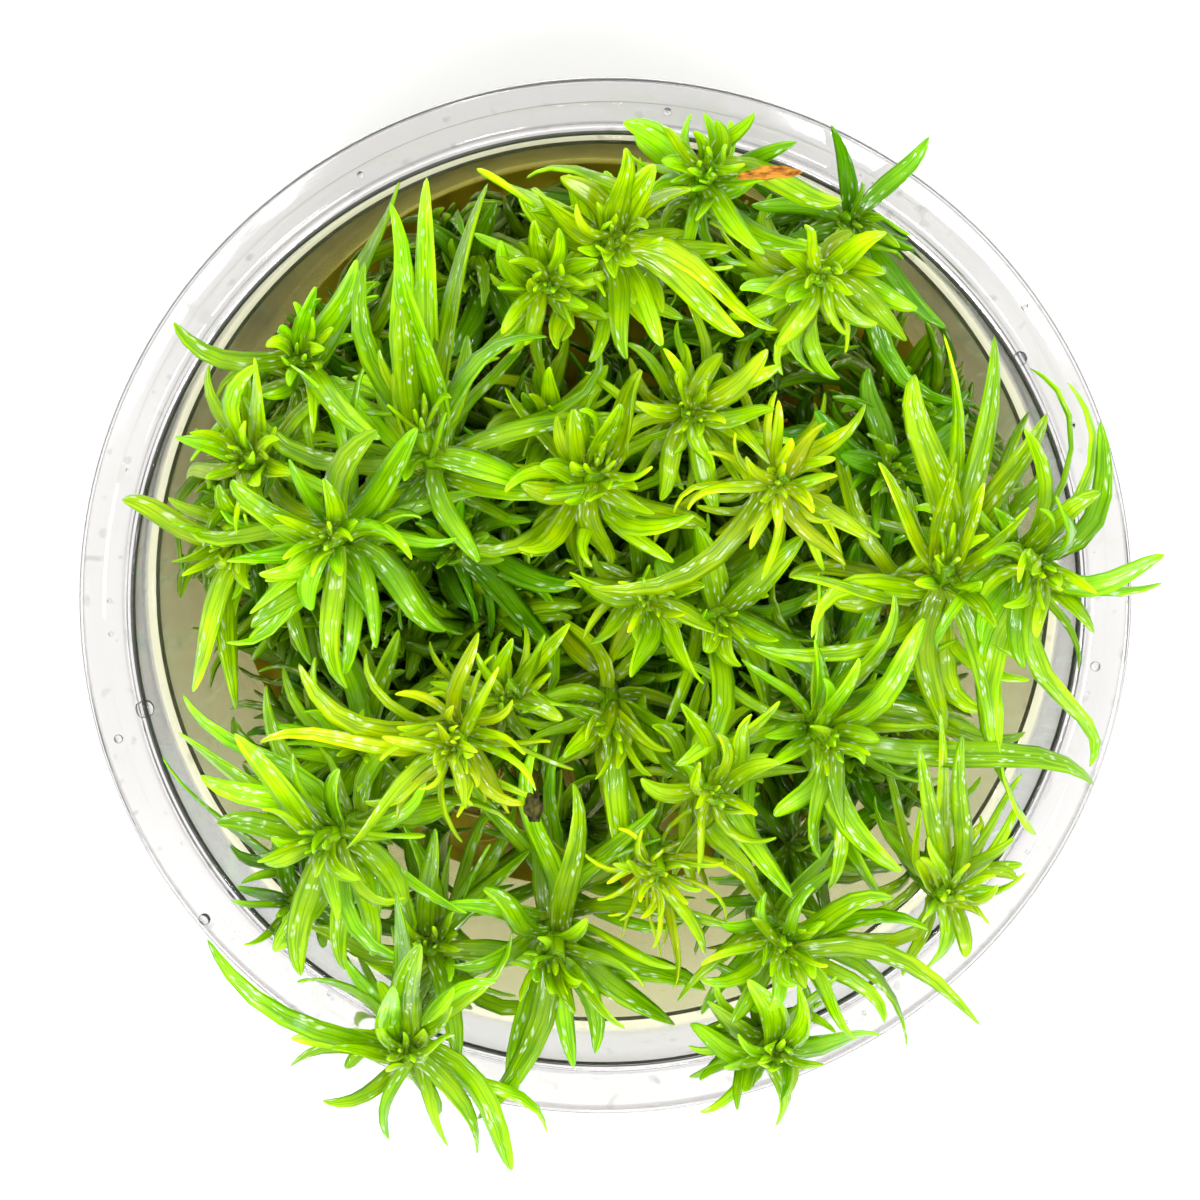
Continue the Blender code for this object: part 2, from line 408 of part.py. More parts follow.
def stem_solid(stem):
    """Points and faces of a stem alone, without leaves."""
    points = [p for ring in stem["rings"] for p in ring]
    count = len(stem["rings"])
    points.append(stem["top"])
    faces = [tuple(range(STEM_SIDES))[::-1]]
    for ring in range(count - 1):
        for side in range(STEM_SIDES):
            after = (side + 1) % STEM_SIDES
            low = ring * STEM_SIDES
            faces.append((low + side, low + after, low + STEM_SIDES + after, low + STEM_SIDES + side))
    for side in range(STEM_SIDES):
        last = (count - 1) * STEM_SIDES
        faces.append((last + side, last + (side + 1) % STEM_SIDES, len(points) - 1))
    return points, faces


def leaf_curve(socket, tip, arch, swirl):
    """Corners of a leaf's middle line: it leaves the stem upwards, arches over and may swirl sideways."""
    chord = tip - socket["base"]
    reach = math.sqrt(float(chord @ chord))
    along = chord / reach
    aside = np.cross(socket["axis"], along)
    bow = arch * socket["axis"] + swirl * aside
    start = unit(along + bow + START_OUTWARD * socket["radial"])
    end = unit(along - bow)
    return (socket["base"], socket["base"] + start * reach * START_PULL, tip - end * reach * END_PULL, tip)


def leaf_stations(reach):
    """Shares of the length that carry a ring, and the share of the full width at each."""
    if reach > LONG_LEAF:
        return (0.2, 0.5, 0.8), (0.8, 1.0, 0.72)
    return (0.25, 0.65), (0.85, 0.92)


def leaf_rings(socket, corners, width, swell):
    """Three points at each station: left edge, right edge and keel, and the tip."""
    chord = corners[3] - corners[0]
    shares, widths = leaf_stations(math.sqrt(float(chord @ chord)))
    centres, tangents = bezier(corners, shares)
    across = unit(np.cross(socket["axis"], unit(chord) + SOCKET_SHARE * socket["radial"]))
    rings = []
    for centre, tangent, share in zip(centres, tangents, widths):
        side = unit(across - tangent * (across @ tangent))
        normal = np.cross(tangent, side)
        half = side * (width * share / 2.0 + swell)
        rings.append((centre + half + normal * swell,
                      centre - half + normal * swell,
                      centre - normal * (LEAF_THICKNESS * share + swell)))
    return rings, corners[3] + unit(corners[3] - corners[2]) * swell


def test_shape(socket, corners, width):
    """A search tree of the leaf with clearance all round, without its foot on the stem."""
    rings, tip = leaf_rings(socket, corners, width, CLEARANCE)
    points = [p for ring in rings for p in ring] + [tip]
    faces = [(0, 1, 2)]
    for ring in range(len(rings) - 1):
        low = ring * 3
        for side in range(3):
            after = (side + 1) % 3
            faces.append((low + side, low + after, low + 3 + after, low + 3 + side))
    last = (len(rings) - 1) * 3
    faces += [(last + side, last + (side + 1) % 3, len(points) - 1) for side in range(3)]
    return make_tree(points, faces)


def foot_shape(socket, corners, width):
    """A search tree of the leaf's first stretch, from just outside the stem to its first ring."""
    ring = leaf_rings(socket, corners, width, 0.0)[0][0]
    start = corners[0] + (corners[1] - corners[0]) * FOOT_SHARE
    side = (ring[0] - ring[1]) * FOOT_SHARE
    points = [start + side, start - side, start - socket["axis"] * WHORL_HEIGHT / 2.0, *ring]
    faces = [(0, 1, 2), (3, 4, 5), (0, 1, 4, 3), (1, 2, 5, 4), (2, 0, 3, 5)]
    return make_tree(points, faces)


def make_tree(points, faces):
    """A search tree with its box."""
    array = np.asarray(points)
    tree = BVHTree.FromPolygons([tuple(p) for p in array.tolist()], faces)
    return {"tree": tree, "low": array.min(axis=0), "high": array.max(axis=0)}


def is_clear(shape, grown):
    """Whether a shape touches none of those grown so far."""
    for other in grown:
        if (shape["low"] < other["high"]).all() and (shape["high"] > other["low"]).all():
            if shape["tree"].overlap(other["tree"]):
                return False
    return True


def turned_about(vector, axis, angle):
    """A vector turned about a unit axis."""
    return (vector * math.cos(angle) + np.cross(axis, vector) * math.sin(angle)
            + axis * (axis @ vector) * (1.0 - math.cos(angle)))


def trial_bends():
    """Bends in the order in which they are tried: turn about the stem and lift, in degrees, and length."""
    bends = [(0, 0), (0, 6), (0, -6), (6, 0), (-6, 0), (0, 12), (8, 8), (-8, 8), (0, -12), (12, 0), (-12, 0),
             (14, 10), (-14, 10), (0, 18), (18, 0), (-18, 0), (20, 14), (-20, 14), (0, 25)]
    return [(turn, lift, length) for length in (1.0, SHORTER) for turn, lift in bends]


def near_feet(plant, socket):
    """What a leaf's foot has to keep clear of: other stems, the cup, the gel and the feet of other whorls."""
    feet = [shape for whorl, shape in plant["feet"] if whorl != socket["whorl"]]
    return plant["others"] + feet


def grow_leaf(plant, socket, tip, width, swirl, grown):
    """Grow one leaf along the first trial bend that is clear, if there is one."""
    chord = tip - socket["base"]
    level = unit(np.cross(plant["axis"], unit(chord) + SOCKET_SHARE * socket["radial"]))
    for turn, lift, length in trial_bends():
        bent = turned_about(chord, plant["axis"], math.radians(turn))
        bent = turned_about(bent, level, math.radians(-lift)) * length
        corners = leaf_curve(socket, socket["base"] + bent, plant["arch"], swirl)
        shape = test_shape(socket, corners, width)
        foot = foot_shape(socket, corners, width)
        if is_clear(shape, grown) and is_clear(foot, near_feet(plant, socket)):
            socket["leaf"] = (corners, width)
            grown.append(shape)
            plant["feet"].append((socket["whorl"], foot))
            return


def choose_socket(plant, tip):
    """The free side face that looks most towards the tip, low on the stem for leaves that spread."""
    axis = plant["axis"]
    chord = unit(tip - plant["head"])
    level = unit(chord - axis * (chord @ axis))
    spread = math.degrees(math.acos(float(chord @ axis)))
    wanted = (plant["whorls"] - 1) * (1.0 - min(1.0, spread / WIDE_SPREAD))
    free = [socket for socket in plant["sockets"] if socket["leaf"] is None]
    return max(free, default=None, key=lambda socket: float(level @ socket["radial"])
               - WHORL_WEIGHT * abs(socket["whorl"] - wanted))


def plantlet_solid(plant):
    """Points and faces of a whole plantlet: the stem, with a leaf drawn out of each side face that has one."""
    points, faces = stem_solid(plant)
    faces = list(faces)
    for socket in plant["sockets"]:
        if socket["leaf"] is None:
            continue
        low = (PLAIN_RINGS + 2 * socket["whorl"]) * STEM_SIDES
        high = low + STEM_SIDES
        side = socket["side"]
        after = (side + 1) % STEM_SIDES
        faces.remove((low + side, low + after, high + after, high + side))
        corners, width = socket["leaf"]
        rings, tip = leaf_rings(socket, corners, width, 0.0)
        first = len(points)
        points += [p for ring in rings for p in ring] + [tip]
        left, right, keel = first, first + 1, first + 2
        faces.append((high + side, right, left, high + after))
        faces.append((high + after, left, keel, low + after))
        faces.append((low + side, keel, right, high + side))
        faces.append((low + after, keel, low + side))
        for ring in range(len(rings) - 1):
            left, right, keel = first + 3 * ring, first + 3 * ring + 1, first + 3 * ring + 2
            faces.append((right, right + 3, left + 3, left))
            faces.append((left, left + 3, keel + 3, keel))
            faces.append((keel, keel + 3, right + 3, right))
        left = first + 3 * (len(rings) - 1)
        end = len(points) - 1
        faces += [(left + 1, end, left), (left, end, left + 2), (left + 2, end, left + 1)]
    return points, faces


def grow_plantlets(walls):
    """Grow all stems, then the leaves that show, then more leaves on the plantlets that have few."""
    plants = []
    for name, tone, head, foot, lean, leaf, arch, swirl, tips in PLANTLETS:
        plant = grow_stem(seen(*head), foot, lean, FEW_WHORLS if len(tips) <= FEW_TIPS else WHORLS)
        plant.update(name=name, tone=tone, leaf=leaf, arch=arch, swirl=swirl, tips=tips, feet=[])
        plant["stem_tree"] = make_tree(*stem_solid(plant))
        plants.append(plant)
    for plant in plants:
        plant["others"] = walls + [other["stem_tree"] for other in plants if other is not plant]
    grown = walls + [plant["stem_tree"] for plant in plants]
    for plant in plants:
        for x, y, z, width, *swirl in plant["tips"]:
            tip = seen(x, y, z)
            socket = choose_socket(plant, tip)
            if socket is not None:
                grow_leaf(plant, socket, tip, width, swirl[0] if swirl else plant["swirl"], grown)
    draw = np.random.default_rng(7)
    for plant in plants:
        for socket in plant["sockets"][::-1]:
            turn = draw.uniform(-FILLER_TURN, FILLER_TURN)
            length = plant["leaf"][0] * draw.uniform(FILLER_SHORTEST, 1.0)
            if socket["leaf"] is None and leaf_count(plant) < FEWEST_LEAVES:
                spread = math.radians(LOW_SPREAD - SPREAD_PER_WHORL * socket["whorl"])
                outward = turned_about(socket["radial"], socket["axis"], math.radians(turn))
                way = math.cos(spread) * socket["axis"] + math.sin(spread) * outward
                tip = socket["base"] + way * length - (0.0, 0.0, FILLER_DROOP)
                grow_leaf(plant, socket, tip, plant["leaf"][1], plant["swirl"], grown)
    return plants, grown


def low_stem(head, stem_radius):
    """Stem of a low shoot, leaning outwards a little."""
    foot = (head[0] * LOW_FOOT, head[1] * LOW_FOOT)
    return grow_stem(head, foot, head[:2] * LOW_LEAN, LOW_WHORLS, stem_radius)


def grow_low_shoots(plants, grown):
    """Low shoots, each at the free place nearest to its own, with a whorl of leaves wherever they are clear."""
    grown += [foot for plant in plants for whorl, foot in plant["feet"]]
    angles = [2.0 * math.pi * turn / LOW_TURNS for turn in range(LOW_TURNS)]
    shifts = [(0.0, 0.0, 0.0)] + [(ring * LOW_STEP * math.cos(angle), ring * LOW_STEP * math.sin(angle), 0.0)
                                  for ring in range(1, LOW_RINGS) for angle in angles]
    shoots = []
    for name, place, length in LOW_SHOOTS:
        for shift in shifts:
            head = np.array(place) + shift
            if is_clear(make_tree(*stem_solid(low_stem(head, LOW_RADIUS + GAP))), grown):
                break
        shoot = low_stem(head, LOW_RADIUS)
        shoot.update(name=name, tone="deep", arch=LOW_ARCH, swirl=0.0, leaf=(length, LOW_WIDTH), tips=[], feet=[])
        shoot["stem_tree"] = make_tree(*stem_solid(shoot))
        shoots.append(shoot)
        grown.append(shoot["stem_tree"])
    draw = np.random.default_rng(11)
    for shoot in shoots:
        shoot["others"] = grown[:2] + [other["stem_tree"] for other in plants + shoots if other is not shoot]
        for socket in shoot["sockets"]:
            spread = math.radians(draw.uniform(LOW_NARROW, LOW_WIDE))
            way = math.cos(spread) * socket["axis"] + math.sin(spread) * socket["radial"]
            reach = shoot["leaf"][0] * draw.uniform(FILLER_SHORTEST, 1.0)
            grow_leaf(shoot, socket, socket["base"] + way * reach, LOW_WIDTH, 0.0, grown)
    return shoots


def leaf_count(plant):
    """How many leaves a plantlet has so far."""
    return sum(1 for socket in plant["sockets"] if socket["leaf"] is not None)


def settled(build, top, grown):
    """Points and faces of a loose piece, lowered from a height until the next step down would touch."""
    height = top
    while height > RIM_HEIGHT and is_clear(make_tree(*build(height - SETTLE_STEP - CLEARANCE)), grown):
        height -= SETTLE_STEP
    return build(height)


def withered_leaf(height):
    """The shrivelled leaf at a height: a thin blade, pointed at both ends and humped towards the far one."""
    start = seen(*WITHERED_LEAF["from"], height)
    end = seen(*WITHERED_LEAF["to"], height)
    along = end - start
    side = unit(np.array([-along[1], along[0], 0.0])) * WITHERED_LEAF["width"] / 2.0
    up = np.array([0.0, 0.0, WITHERED_LEAF["thickness"] / 2.0])
    points = [start]
    for share, width in WITHERED_LEAF["sections"]:
        middle = start + along * share + up * 2.0 * share
        points += [middle + side * width, middle + up, middle - side * width, middle - up]
    points.append(end)
    faces = []
    for corner in range(4):
        after = (corner + 1) % 4
        faces.append((0, 1 + after, 1 + corner))
        faces.append((1 + corner, 1 + after, 5 + after, 5 + corner))
        faces.append((9, 5 + corner, 5 + after))
    return points, faces


def dead_scrap(height):
    """The scrap of dead leaf at a height: a small uneven lump."""
    middle = seen(*DEAD_SCRAP["at"], height)
    sides = DEAD_SCRAP["sides"]
    radii = np.array(DEAD_SCRAP["radii"])
    points = [middle - (0.0, 0.0, radii[2])]
    for level, spread, turn in DEAD_SCRAP["levels"]:
        for side in range(sides):
            angle = 2.0 * math.pi * (side + turn) / sides
            uneven = spread * (1.0 + DEAD_SCRAP["unevenness"] * math.sin(3.7 * side + 5.0 * level))
            points.append(middle + radii * (math.cos(angle) * uneven, math.sin(angle) * uneven, level))
    points.append(middle + radii * DEAD_SCRAP["crest"])
    faces = []
    for side in range(sides):
        low, low_after = 1 + side, 1 + (side + 1) % sides
        faces.append((0, low_after, low))
        faces.append((low, low_after, low + sides))
        faces.append((low_after, low_after + sides, low + sides))
        faces.append((low + sides, low_after + sides, 1 + 2 * sides))
    return points, faces


def main():
    """Model the cup, the gel, the plantlets, the low shoots and the two loose scraps."""
    clear_scene()
    walls = []
    for thing in (make_cup(), make_gel()):
        points = [tuple(v.co / MM) for v in thing.data.vertices]
        walls.append(make_tree(points, [tuple(p.vertices) for p in thing.data.polygons]))
    plants, grown = grow_plantlets(walls)
    plants += grow_low_shoots(plants, grown)
    for plant in plants:
        points, faces = plantlet_solid(plant)
        add_object(plant["name"], points, faces, plain_material(plant["name"], TONES[plant["tone"]], 0.3))
    points, faces = settled(withered_leaf, WITHERED_LEAF["top"], grown)
    add_object("withered_leaf", points, faces, plain_material("withered_leaf", (0.55, 0.30, 0.05), 0.5))
    points, faces = settled(dead_scrap, DEAD_SCRAP["top"], grown)
    add_object("dead_scrap", points, faces, plain_material("dead_scrap", (0.08, 0.07, 0.02), 0.7))


main()
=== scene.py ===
"""The looks of an open culture cup of young Pogostemon deccanensis, seen from above.

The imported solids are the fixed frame. Every size here is in millimetres and is brought to metres by MM where
a mesh is made. The sections: viewpoint, cup, gel, plantlets, low shoots, blades, roots, bubbles, drops,
withered leaf and scrap, then the table the cup stands on and its light.
"""
import math

import bpy
import numpy as np
from mathutils import Matrix
from mathutils.bvhtree import BVHTree


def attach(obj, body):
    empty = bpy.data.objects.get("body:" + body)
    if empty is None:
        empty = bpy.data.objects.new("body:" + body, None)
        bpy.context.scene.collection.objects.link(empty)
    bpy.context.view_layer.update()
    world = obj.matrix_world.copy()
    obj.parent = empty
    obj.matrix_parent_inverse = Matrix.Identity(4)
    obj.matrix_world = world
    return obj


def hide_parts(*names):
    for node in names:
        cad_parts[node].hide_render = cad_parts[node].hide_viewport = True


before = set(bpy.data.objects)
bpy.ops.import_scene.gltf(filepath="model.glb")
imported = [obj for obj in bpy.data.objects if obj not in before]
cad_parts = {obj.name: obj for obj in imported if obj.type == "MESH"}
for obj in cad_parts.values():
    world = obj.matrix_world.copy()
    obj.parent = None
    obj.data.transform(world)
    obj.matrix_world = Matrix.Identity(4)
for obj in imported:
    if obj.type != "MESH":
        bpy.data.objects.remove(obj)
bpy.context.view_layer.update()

MM = 0.001
scene = bpy.context.scene


# Viewpoint
# The photograph looks down into the cup from 42 cm above the rim, with the camera leaning a little towards
# the upper edge of the picture. A place read in the plane of the rim lies on the line of sight of its point.
RIM_HEIGHT = 62.0
TILT = math.radians(10.3)
TURN = math.radians(-8.9)
DISTANCE = 420.0
AIM = np.array([-0.69, 0.70, RIM_HEIGHT])
LENS = 132.87

back = np.array([math.sin(TILT) * math.sin(TURN), math.sin(TILT) * math.cos(TURN), math.cos(TILT)])
EYE = np.round(AIM + DISTANCE * back, 1)


def unit(vector):
    """The vector at length one."""
    return vector / math.sqrt(float(vector @ vector))


def seen(x, y, z):
    """A place read in the plane of the rim, carried along the line of sight to the height z."""
    share = (z - EYE[2]) / (RIM_HEIGHT - EYE[2])
    return EYE + (np.array([x, y, RIM_HEIGHT]) - EYE) * share


camera_data = bpy.data.cameras.new("view_from_above")
camera_data.lens = LENS
camera_data.sensor_width = 36.0
camera_data.clip_start = 0.01
camera = bpy.data.objects.new("view_from_above", camera_data)
scene.collection.objects.link(camera)
right = unit(np.cross((0.0, 1.0, 0.0), back))
upwards = np.cross(back, right)
place = (AIM + DISTANCE * back) * MM
camera.matrix_world = Matrix([(right[i], upwards[i], back[i], place[i]) for i in range(3)] + [(0, 0, 0, 1)])
scene.camera = camera


# Cup
# A thin cup drawn from clear plastic sheet: flat base, slightly flared wall, a ledge for stacking, a short
# throat, a raised lip and a flat flange whose edge is turned down. The lid that seals it is off.
CUP_SIDES = 216
BASE_RADIUS = 38.6
LEDGE_HEIGHT = 52.2
LEDGE_RADIUS = 43.1
THROAT_RADIUS = 44.7
RIM_RADIUS = 50.0
WALL = 0.8
SHEET = 0.4
SKIRT = 2.4


def ring_faces(rings, sides, count=1, inside_out=False):
    """Faces of shapes made of rings of points and two end points: quads between rings, and a fan at each end.

    Each shape's points are its rings in order, then its first and its last end. The count says how many such
    shapes follow each other. The faces look out where rings run up and turn anticlockwise seen from above.
    """
    first = np.arange(sides)
    after = (first + 1) % sides
    if inside_out:
        first, after = after, first
    rows = (np.arange(rings - 1) * sides)[:, None]
    quads = np.stack([rows + first, rows + after, rows + sides + after, rows + sides + first], axis=2)
    last, ends = (rings - 1) * sides, np.full(sides, rings * sides)
    fans = np.vstack([np.stack([ends, after, first], axis=1),
                      np.stack([last + first, last + after, ends + 1], axis=1)])
    starts = (np.arange(count) * (rings * sides + 2))[:, None, None]
    return (quads.reshape(-1, 4)[None] + starts).reshape(-1, 4), (fans[None] + starts).reshape(-1, 3)


def turned(profile, sides):
    """Surface of revolution: point(u, v) = (r(v) cos u, r(v) sin u, h(v)), closed on the axis at both ends.

    The first and last profile points lie on the axis. Faces point outwards when the profile runs from the
    middle of the underside round the outside to the middle of the top.
    """
    profile = np.asarray(profile, dtype=float)
    angles = np.arange(sides) * (2.0 * math.pi / sides)
    ring = np.stack([np.cos(angles), np.sin(angles), np.ones(sides)], axis=1)
    body = profile[1:-1]
    points = (ring[None, :, :] * body[:, None, [0, 0, 1]]).reshape(-1, 3)
    points = np.vstack([points, (0.0, 0.0, profile[0, 1]), (0.0, 0.0, profile[-1, 1])])
    return points, *ring_faces(len(body), sides)


def rounded(corners, radius=0.25, steps=4):
    """Profile with rounded corners: each corner becomes a quadratic curve a(1-t)^2 + 2 b t(1-t) + c t^2.

    b is the corner, and a and c lie on its two sides, radius away or a third of the side where that is less.
    """
    corners = np.asarray(corners, dtype=float)
    rounded_points = [corners[:1]]
    t = np.linspace(0.0, 1.0, steps)[:, None]
    for before, corner, after in zip(corners[:-2], corners[1:-1], corners[2:]):
        reach = [min(radius, 0.33 * np.hypot(*(end - corner))) for end in (before, after)]
        a = corner + (before - corner) / np.hypot(*(before - corner)) * reach[0]
        c = corner + (after - corner) / np.hypot(*(after - corner)) * reach[1]
        rounded_points.append(a * (1 - t) ** 2 + 2.0 * corner * t * (1 - t) + c * t ** 2)
    rounded_points.append(corners[-1:])
    return np.vstack(rounded_points)


def add_piece(name, points, quads, triangles, material, slot):
    """A smooth closed mesh from points in millimetres, riding on the cup's own body."""
    mesh = bpy.data.meshes.new(name)
    mesh.from_pydata((points * MM).tolist(), [], quads.tolist() + triangles.tolist())
    mesh.shade_smooth()
    mesh.materials.append(material)
    piece = bpy.data.objects.new(name, mesh)
    scene.collection.objects.link(piece)
    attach(piece, "root")
    return piece


class Look:
    """A material in the making: its nodes, the place of a point, and the patterns that the pieces share."""

    def __init__(self, name):
        self.material = bpy.data.materials.new(name)
        self.material.use_nodes = True
        self.tree = self.material.node_tree
        self.shader = self.tree.nodes["Principled BSDF"]
        self.where = self.node("ShaderNodeTexCoord").outputs["Object"]

    def fill(self, socket, value):
        """Give a socket its value, or link it to another node's socket."""
        if isinstance(value, bpy.types.NodeSocket):
            self.tree.links.new(value, socket)
        else:
            socket.default_value = value

    def node(self, kind, settings=(), **inputs):
        """Add a node. Each input is named as its socket is, or i and the socket's number."""
        made = self.tree.nodes.new(kind)
        for key, value in dict(settings).items():
            setattr(made, key, value)
        for name, value in inputs.items():
            self.fill(made.inputs[int(name[1:]) if name[1:].isdigit() else name], value)
        return made

    def noise(self, scale, detail=2.0, roughness=0.5, vector=None, dimensions="3D"):
        """Smooth random values over the piece, or over another vector."""
        return self.node("ShaderNodeTexNoise", {"noise_dimensions": dimensions}, Vector=vector or self.where,
                         Scale=scale, Detail=detail, Roughness=roughness).outputs[0]

    def stretched(self, vector, scale):
        """A vector whose parts are multiplied by those of the scale."""
        return self.node("ShaderNodeMapping", Vector=vector, Scale=scale).outputs[0]

    def span(self, value, low, high, start=0.0, end=1.0):
        """A value carried from low and high to start and end, and held there beyond them."""
        ends = {"From Min": low, "From Max": high, "To Min": start, "To Max": end}
        return self.node("ShaderNodeMapRange", Value=value, **ends).outputs[0]

    def ramp(self, factor, stops):
        """A colour ramp over (position, colour) stops."""
        made = self.node("ShaderNodeValToRGB", i0=factor)
        elements = made.color_ramp.elements
        for index, (position, colour) in enumerate(stops):
            element = elements[index] if index < 2 else elements.new(position)
            element.position = position
            element.color = (*colour, 1.0)
        return made.outputs["Color"]

    def mix(self, first, second, share=1.0, way="MULTIPLY"):
        """Two colours multiplied, or mixed in another way."""
        return self.node("ShaderNodeMix", {"data_type": "RGBA", "blend_type": way}, i0=share, i6=first,
                         i7=second).outputs[2]

    def maths(self, way, *values):
        """Two or three numbers multiplied, or multiplied and added."""
        inputs = {f"i{index}": value for index, value in enumerate(values)}
        return self.node("ShaderNodeMath", {"operation": way}, **inputs).outputs[0]

    def bump(self, height, strength, distance):
        """The surface's normal, tilted by a height."""
        return self.node("ShaderNodeBump", Strength=strength, Distance=distance, Height=height).outputs[0]

    def done(self, **sockets):
        """Fill the shader's sockets, each named with _ for a space, and give the material back."""
        for name, value in sockets.items():
            self.fill(self.shader.inputs[name.replace("_", " ")], value)
        return self.material


def inner_radius(height):
    """Radius of the main wall inside, from the rounded foot to the ledge."""
    return BASE_RADIUS - WALL + (height - 2.2) / (LEDGE_HEIGHT - 2.2) * (LEDGE_RADIUS - BASE_RADIUS + WALL)


def cup_profile():
    """The cup's section: one sheet of even thickness, drawn over the shape of its inside.

    The inside runs from the turned-down edge over the flange and lip and down the wall to the middle.
    The outside is that curve moved by the sheet's thickness along its own normals, run back the other way.
    """
    inside = rounded([(RIM_RADIUS, RIM_HEIGHT - SKIRT), (RIM_RADIUS, RIM_HEIGHT),
                      (RIM_RADIUS - 2.2, RIM_HEIGHT), (RIM_RADIUS - 2.6, RIM_HEIGHT - 0.15),
                      (THROAT_RADIUS + 1.3, RIM_HEIGHT - 0.2), (THROAT_RADIUS + 0.8, RIM_HEIGHT + 0.4),
                      (THROAT_RADIUS, RIM_HEIGHT + 0.4), (THROAT_RADIUS - 0.15, RIM_HEIGHT - 2.0),
                      (LEDGE_RADIUS + 0.9, LEDGE_HEIGHT),
                      (LEDGE_RADIUS, LEDGE_HEIGHT - 0.2), (LEDGE_RADIUS - 0.15, LEDGE_HEIGHT - 1.4),
                      (inner_radius(2.2), 1.5), (inner_radius(2.2) - 1.2, SHEET), (0.0, SHEET)], 0.6, 7)
    along = np.gradient(inside, axis=0)
    along = along / np.hypot(along[:, 0], along[:, 1])[:, None]
    outside = inside + SHEET * np.stack([along[:, 1], -along[:, 0]], axis=1) * (-1.0, -1.0)
    outside[-1, 0] = 0.0
    return np.vstack([outside[::-1], inside])


def clear_plastic():
    """Clear moulded sheet: grey at the flange, clear in the throat, fogged below the ledge, where a painted
    reflection tints it yellowish olive, amber at its foot.
    """
    look = Look("clear_plastic")
    height = look.node("ShaderNodeSeparateXYZ", Vector=look.where).outputs["Z"]
    fog = look.span(height, 0.0512, 0.0522, 0.10, 0.03)
    # Painted reflection: below the ledge the wall is tinted yellowish olive, and amber brown at the foot, for
    # the green of the leaves and the amber of the gel that the clear wall gives back.
    tone = look.ramp(height, [(0.0012, (0.60, 0.55, 0.06)), (0.0045, (0.78, 0.74, 0.34)),
                              (0.0513, (0.83, 0.81, 0.48)), (0.0522, (0.95, 0.95, 0.93)),
                              (0.0608, (0.95, 0.95, 0.93)), (0.0614, (0.76, 0.74, 0.735))])
    dust = look.ramp(look.noise(700.0, 0.0), [(0.74, (1.0, 1.0, 1.0)), (0.80, (0.80, 0.80, 0.78))])
    return look.done(Base_Color=look.mix(tone, dust), Normal=look.bump(look.noise(110.0, 0.0), 0.2, 0.0004),
                     Roughness=look.maths("MULTIPLY_ADD", look.noise(55.0, 2.0, 0.6), 0.06, fog),
                     IOR=1.49, Transmission_Weight=0.95)


cup = add_piece("clear_cup", *turned(rounded(cup_profile()), CUP_SIDES), clear_plastic(), "clear_plastic")
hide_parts("cup")


# Gel
# Nutrient agar, poured hot and set in the cup. It is clear amber, browner where old roots have stained it,
# stands a little up the wall, and holds small bubbles.
GEL_HEIGHT = 16.0


def gel_profile():
    """The gel's section: flat below, rounded foot, and a top that climbs at the wall."""
    edge = inner_radius(GEL_HEIGHT) - 0.7
    return [(0.0, 0.7), (BASE_RADIUS - 2.5, 0.7), (inner_radius(3.3) - 0.6, 3.3), (edge, GEL_HEIGHT + 0.7),
            (edge - 0.5, GEL_HEIGHT + 0.45), (edge - 1.6, GEL_HEIGHT), (edge - 8.0, GEL_HEIGHT - 0.1),
            (20.0, GEL_HEIGHT), (8.0, GEL_HEIGHT - 0.1), (0.0, GEL_HEIGHT)]


def amber_gel():
    """Amber gel: see-through, clouded and browner in patches, wet on top."""
    look = Look("amber_gel")
    colour = look.ramp(look.noise(75.0, 3.0, 0.65), [(0.36, (0.26, 0.19, 0.010)), (0.50, (0.76, 0.60, 0.03)),
                                                     (0.62, (0.92, 0.78, 0.06))])
    return look.done(Base_Color=colour, Normal=look.bump(look.noise(260.0), 0.35, 0.0008),
                     Roughness=0.08, IOR=1.34, Transmission_Weight=0.45)


gel = add_piece("agar", *turned(rounded(gel_profile(), 0.5), 144), amber_gel(), "agar_gel")
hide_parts("agar_gel")


# Plantlets
# Each is one rooted stem with whorls of narrow wet leaves, grown towards the light until the tufts stand over
# the rim. This is the growth of the solids: the same table, sockets and trial bends, in the same order.
GAP = 0.35
STEM_RADIUS = 1.15
STEM_TAPER = 0.06
STEM_SIDES = 6
FOOT_PULL = 0.45
HEAD_PULL = 0.35
PLAIN_RINGS = 2
WHORLS = 3
FEW_WHORLS = 2
FEW_TIPS = 8
WHORL_HEIGHT = 1.3
WHORL_SPACING = 3.4
BUD_HEIGHT = 2.6
LEAF_THICKNESS = 0.75
CLEARANCE = 0.2
LONG_LEAF = 20.0
SOCKET_SHARE = 0.25
FEWEST_LEAVES = 7

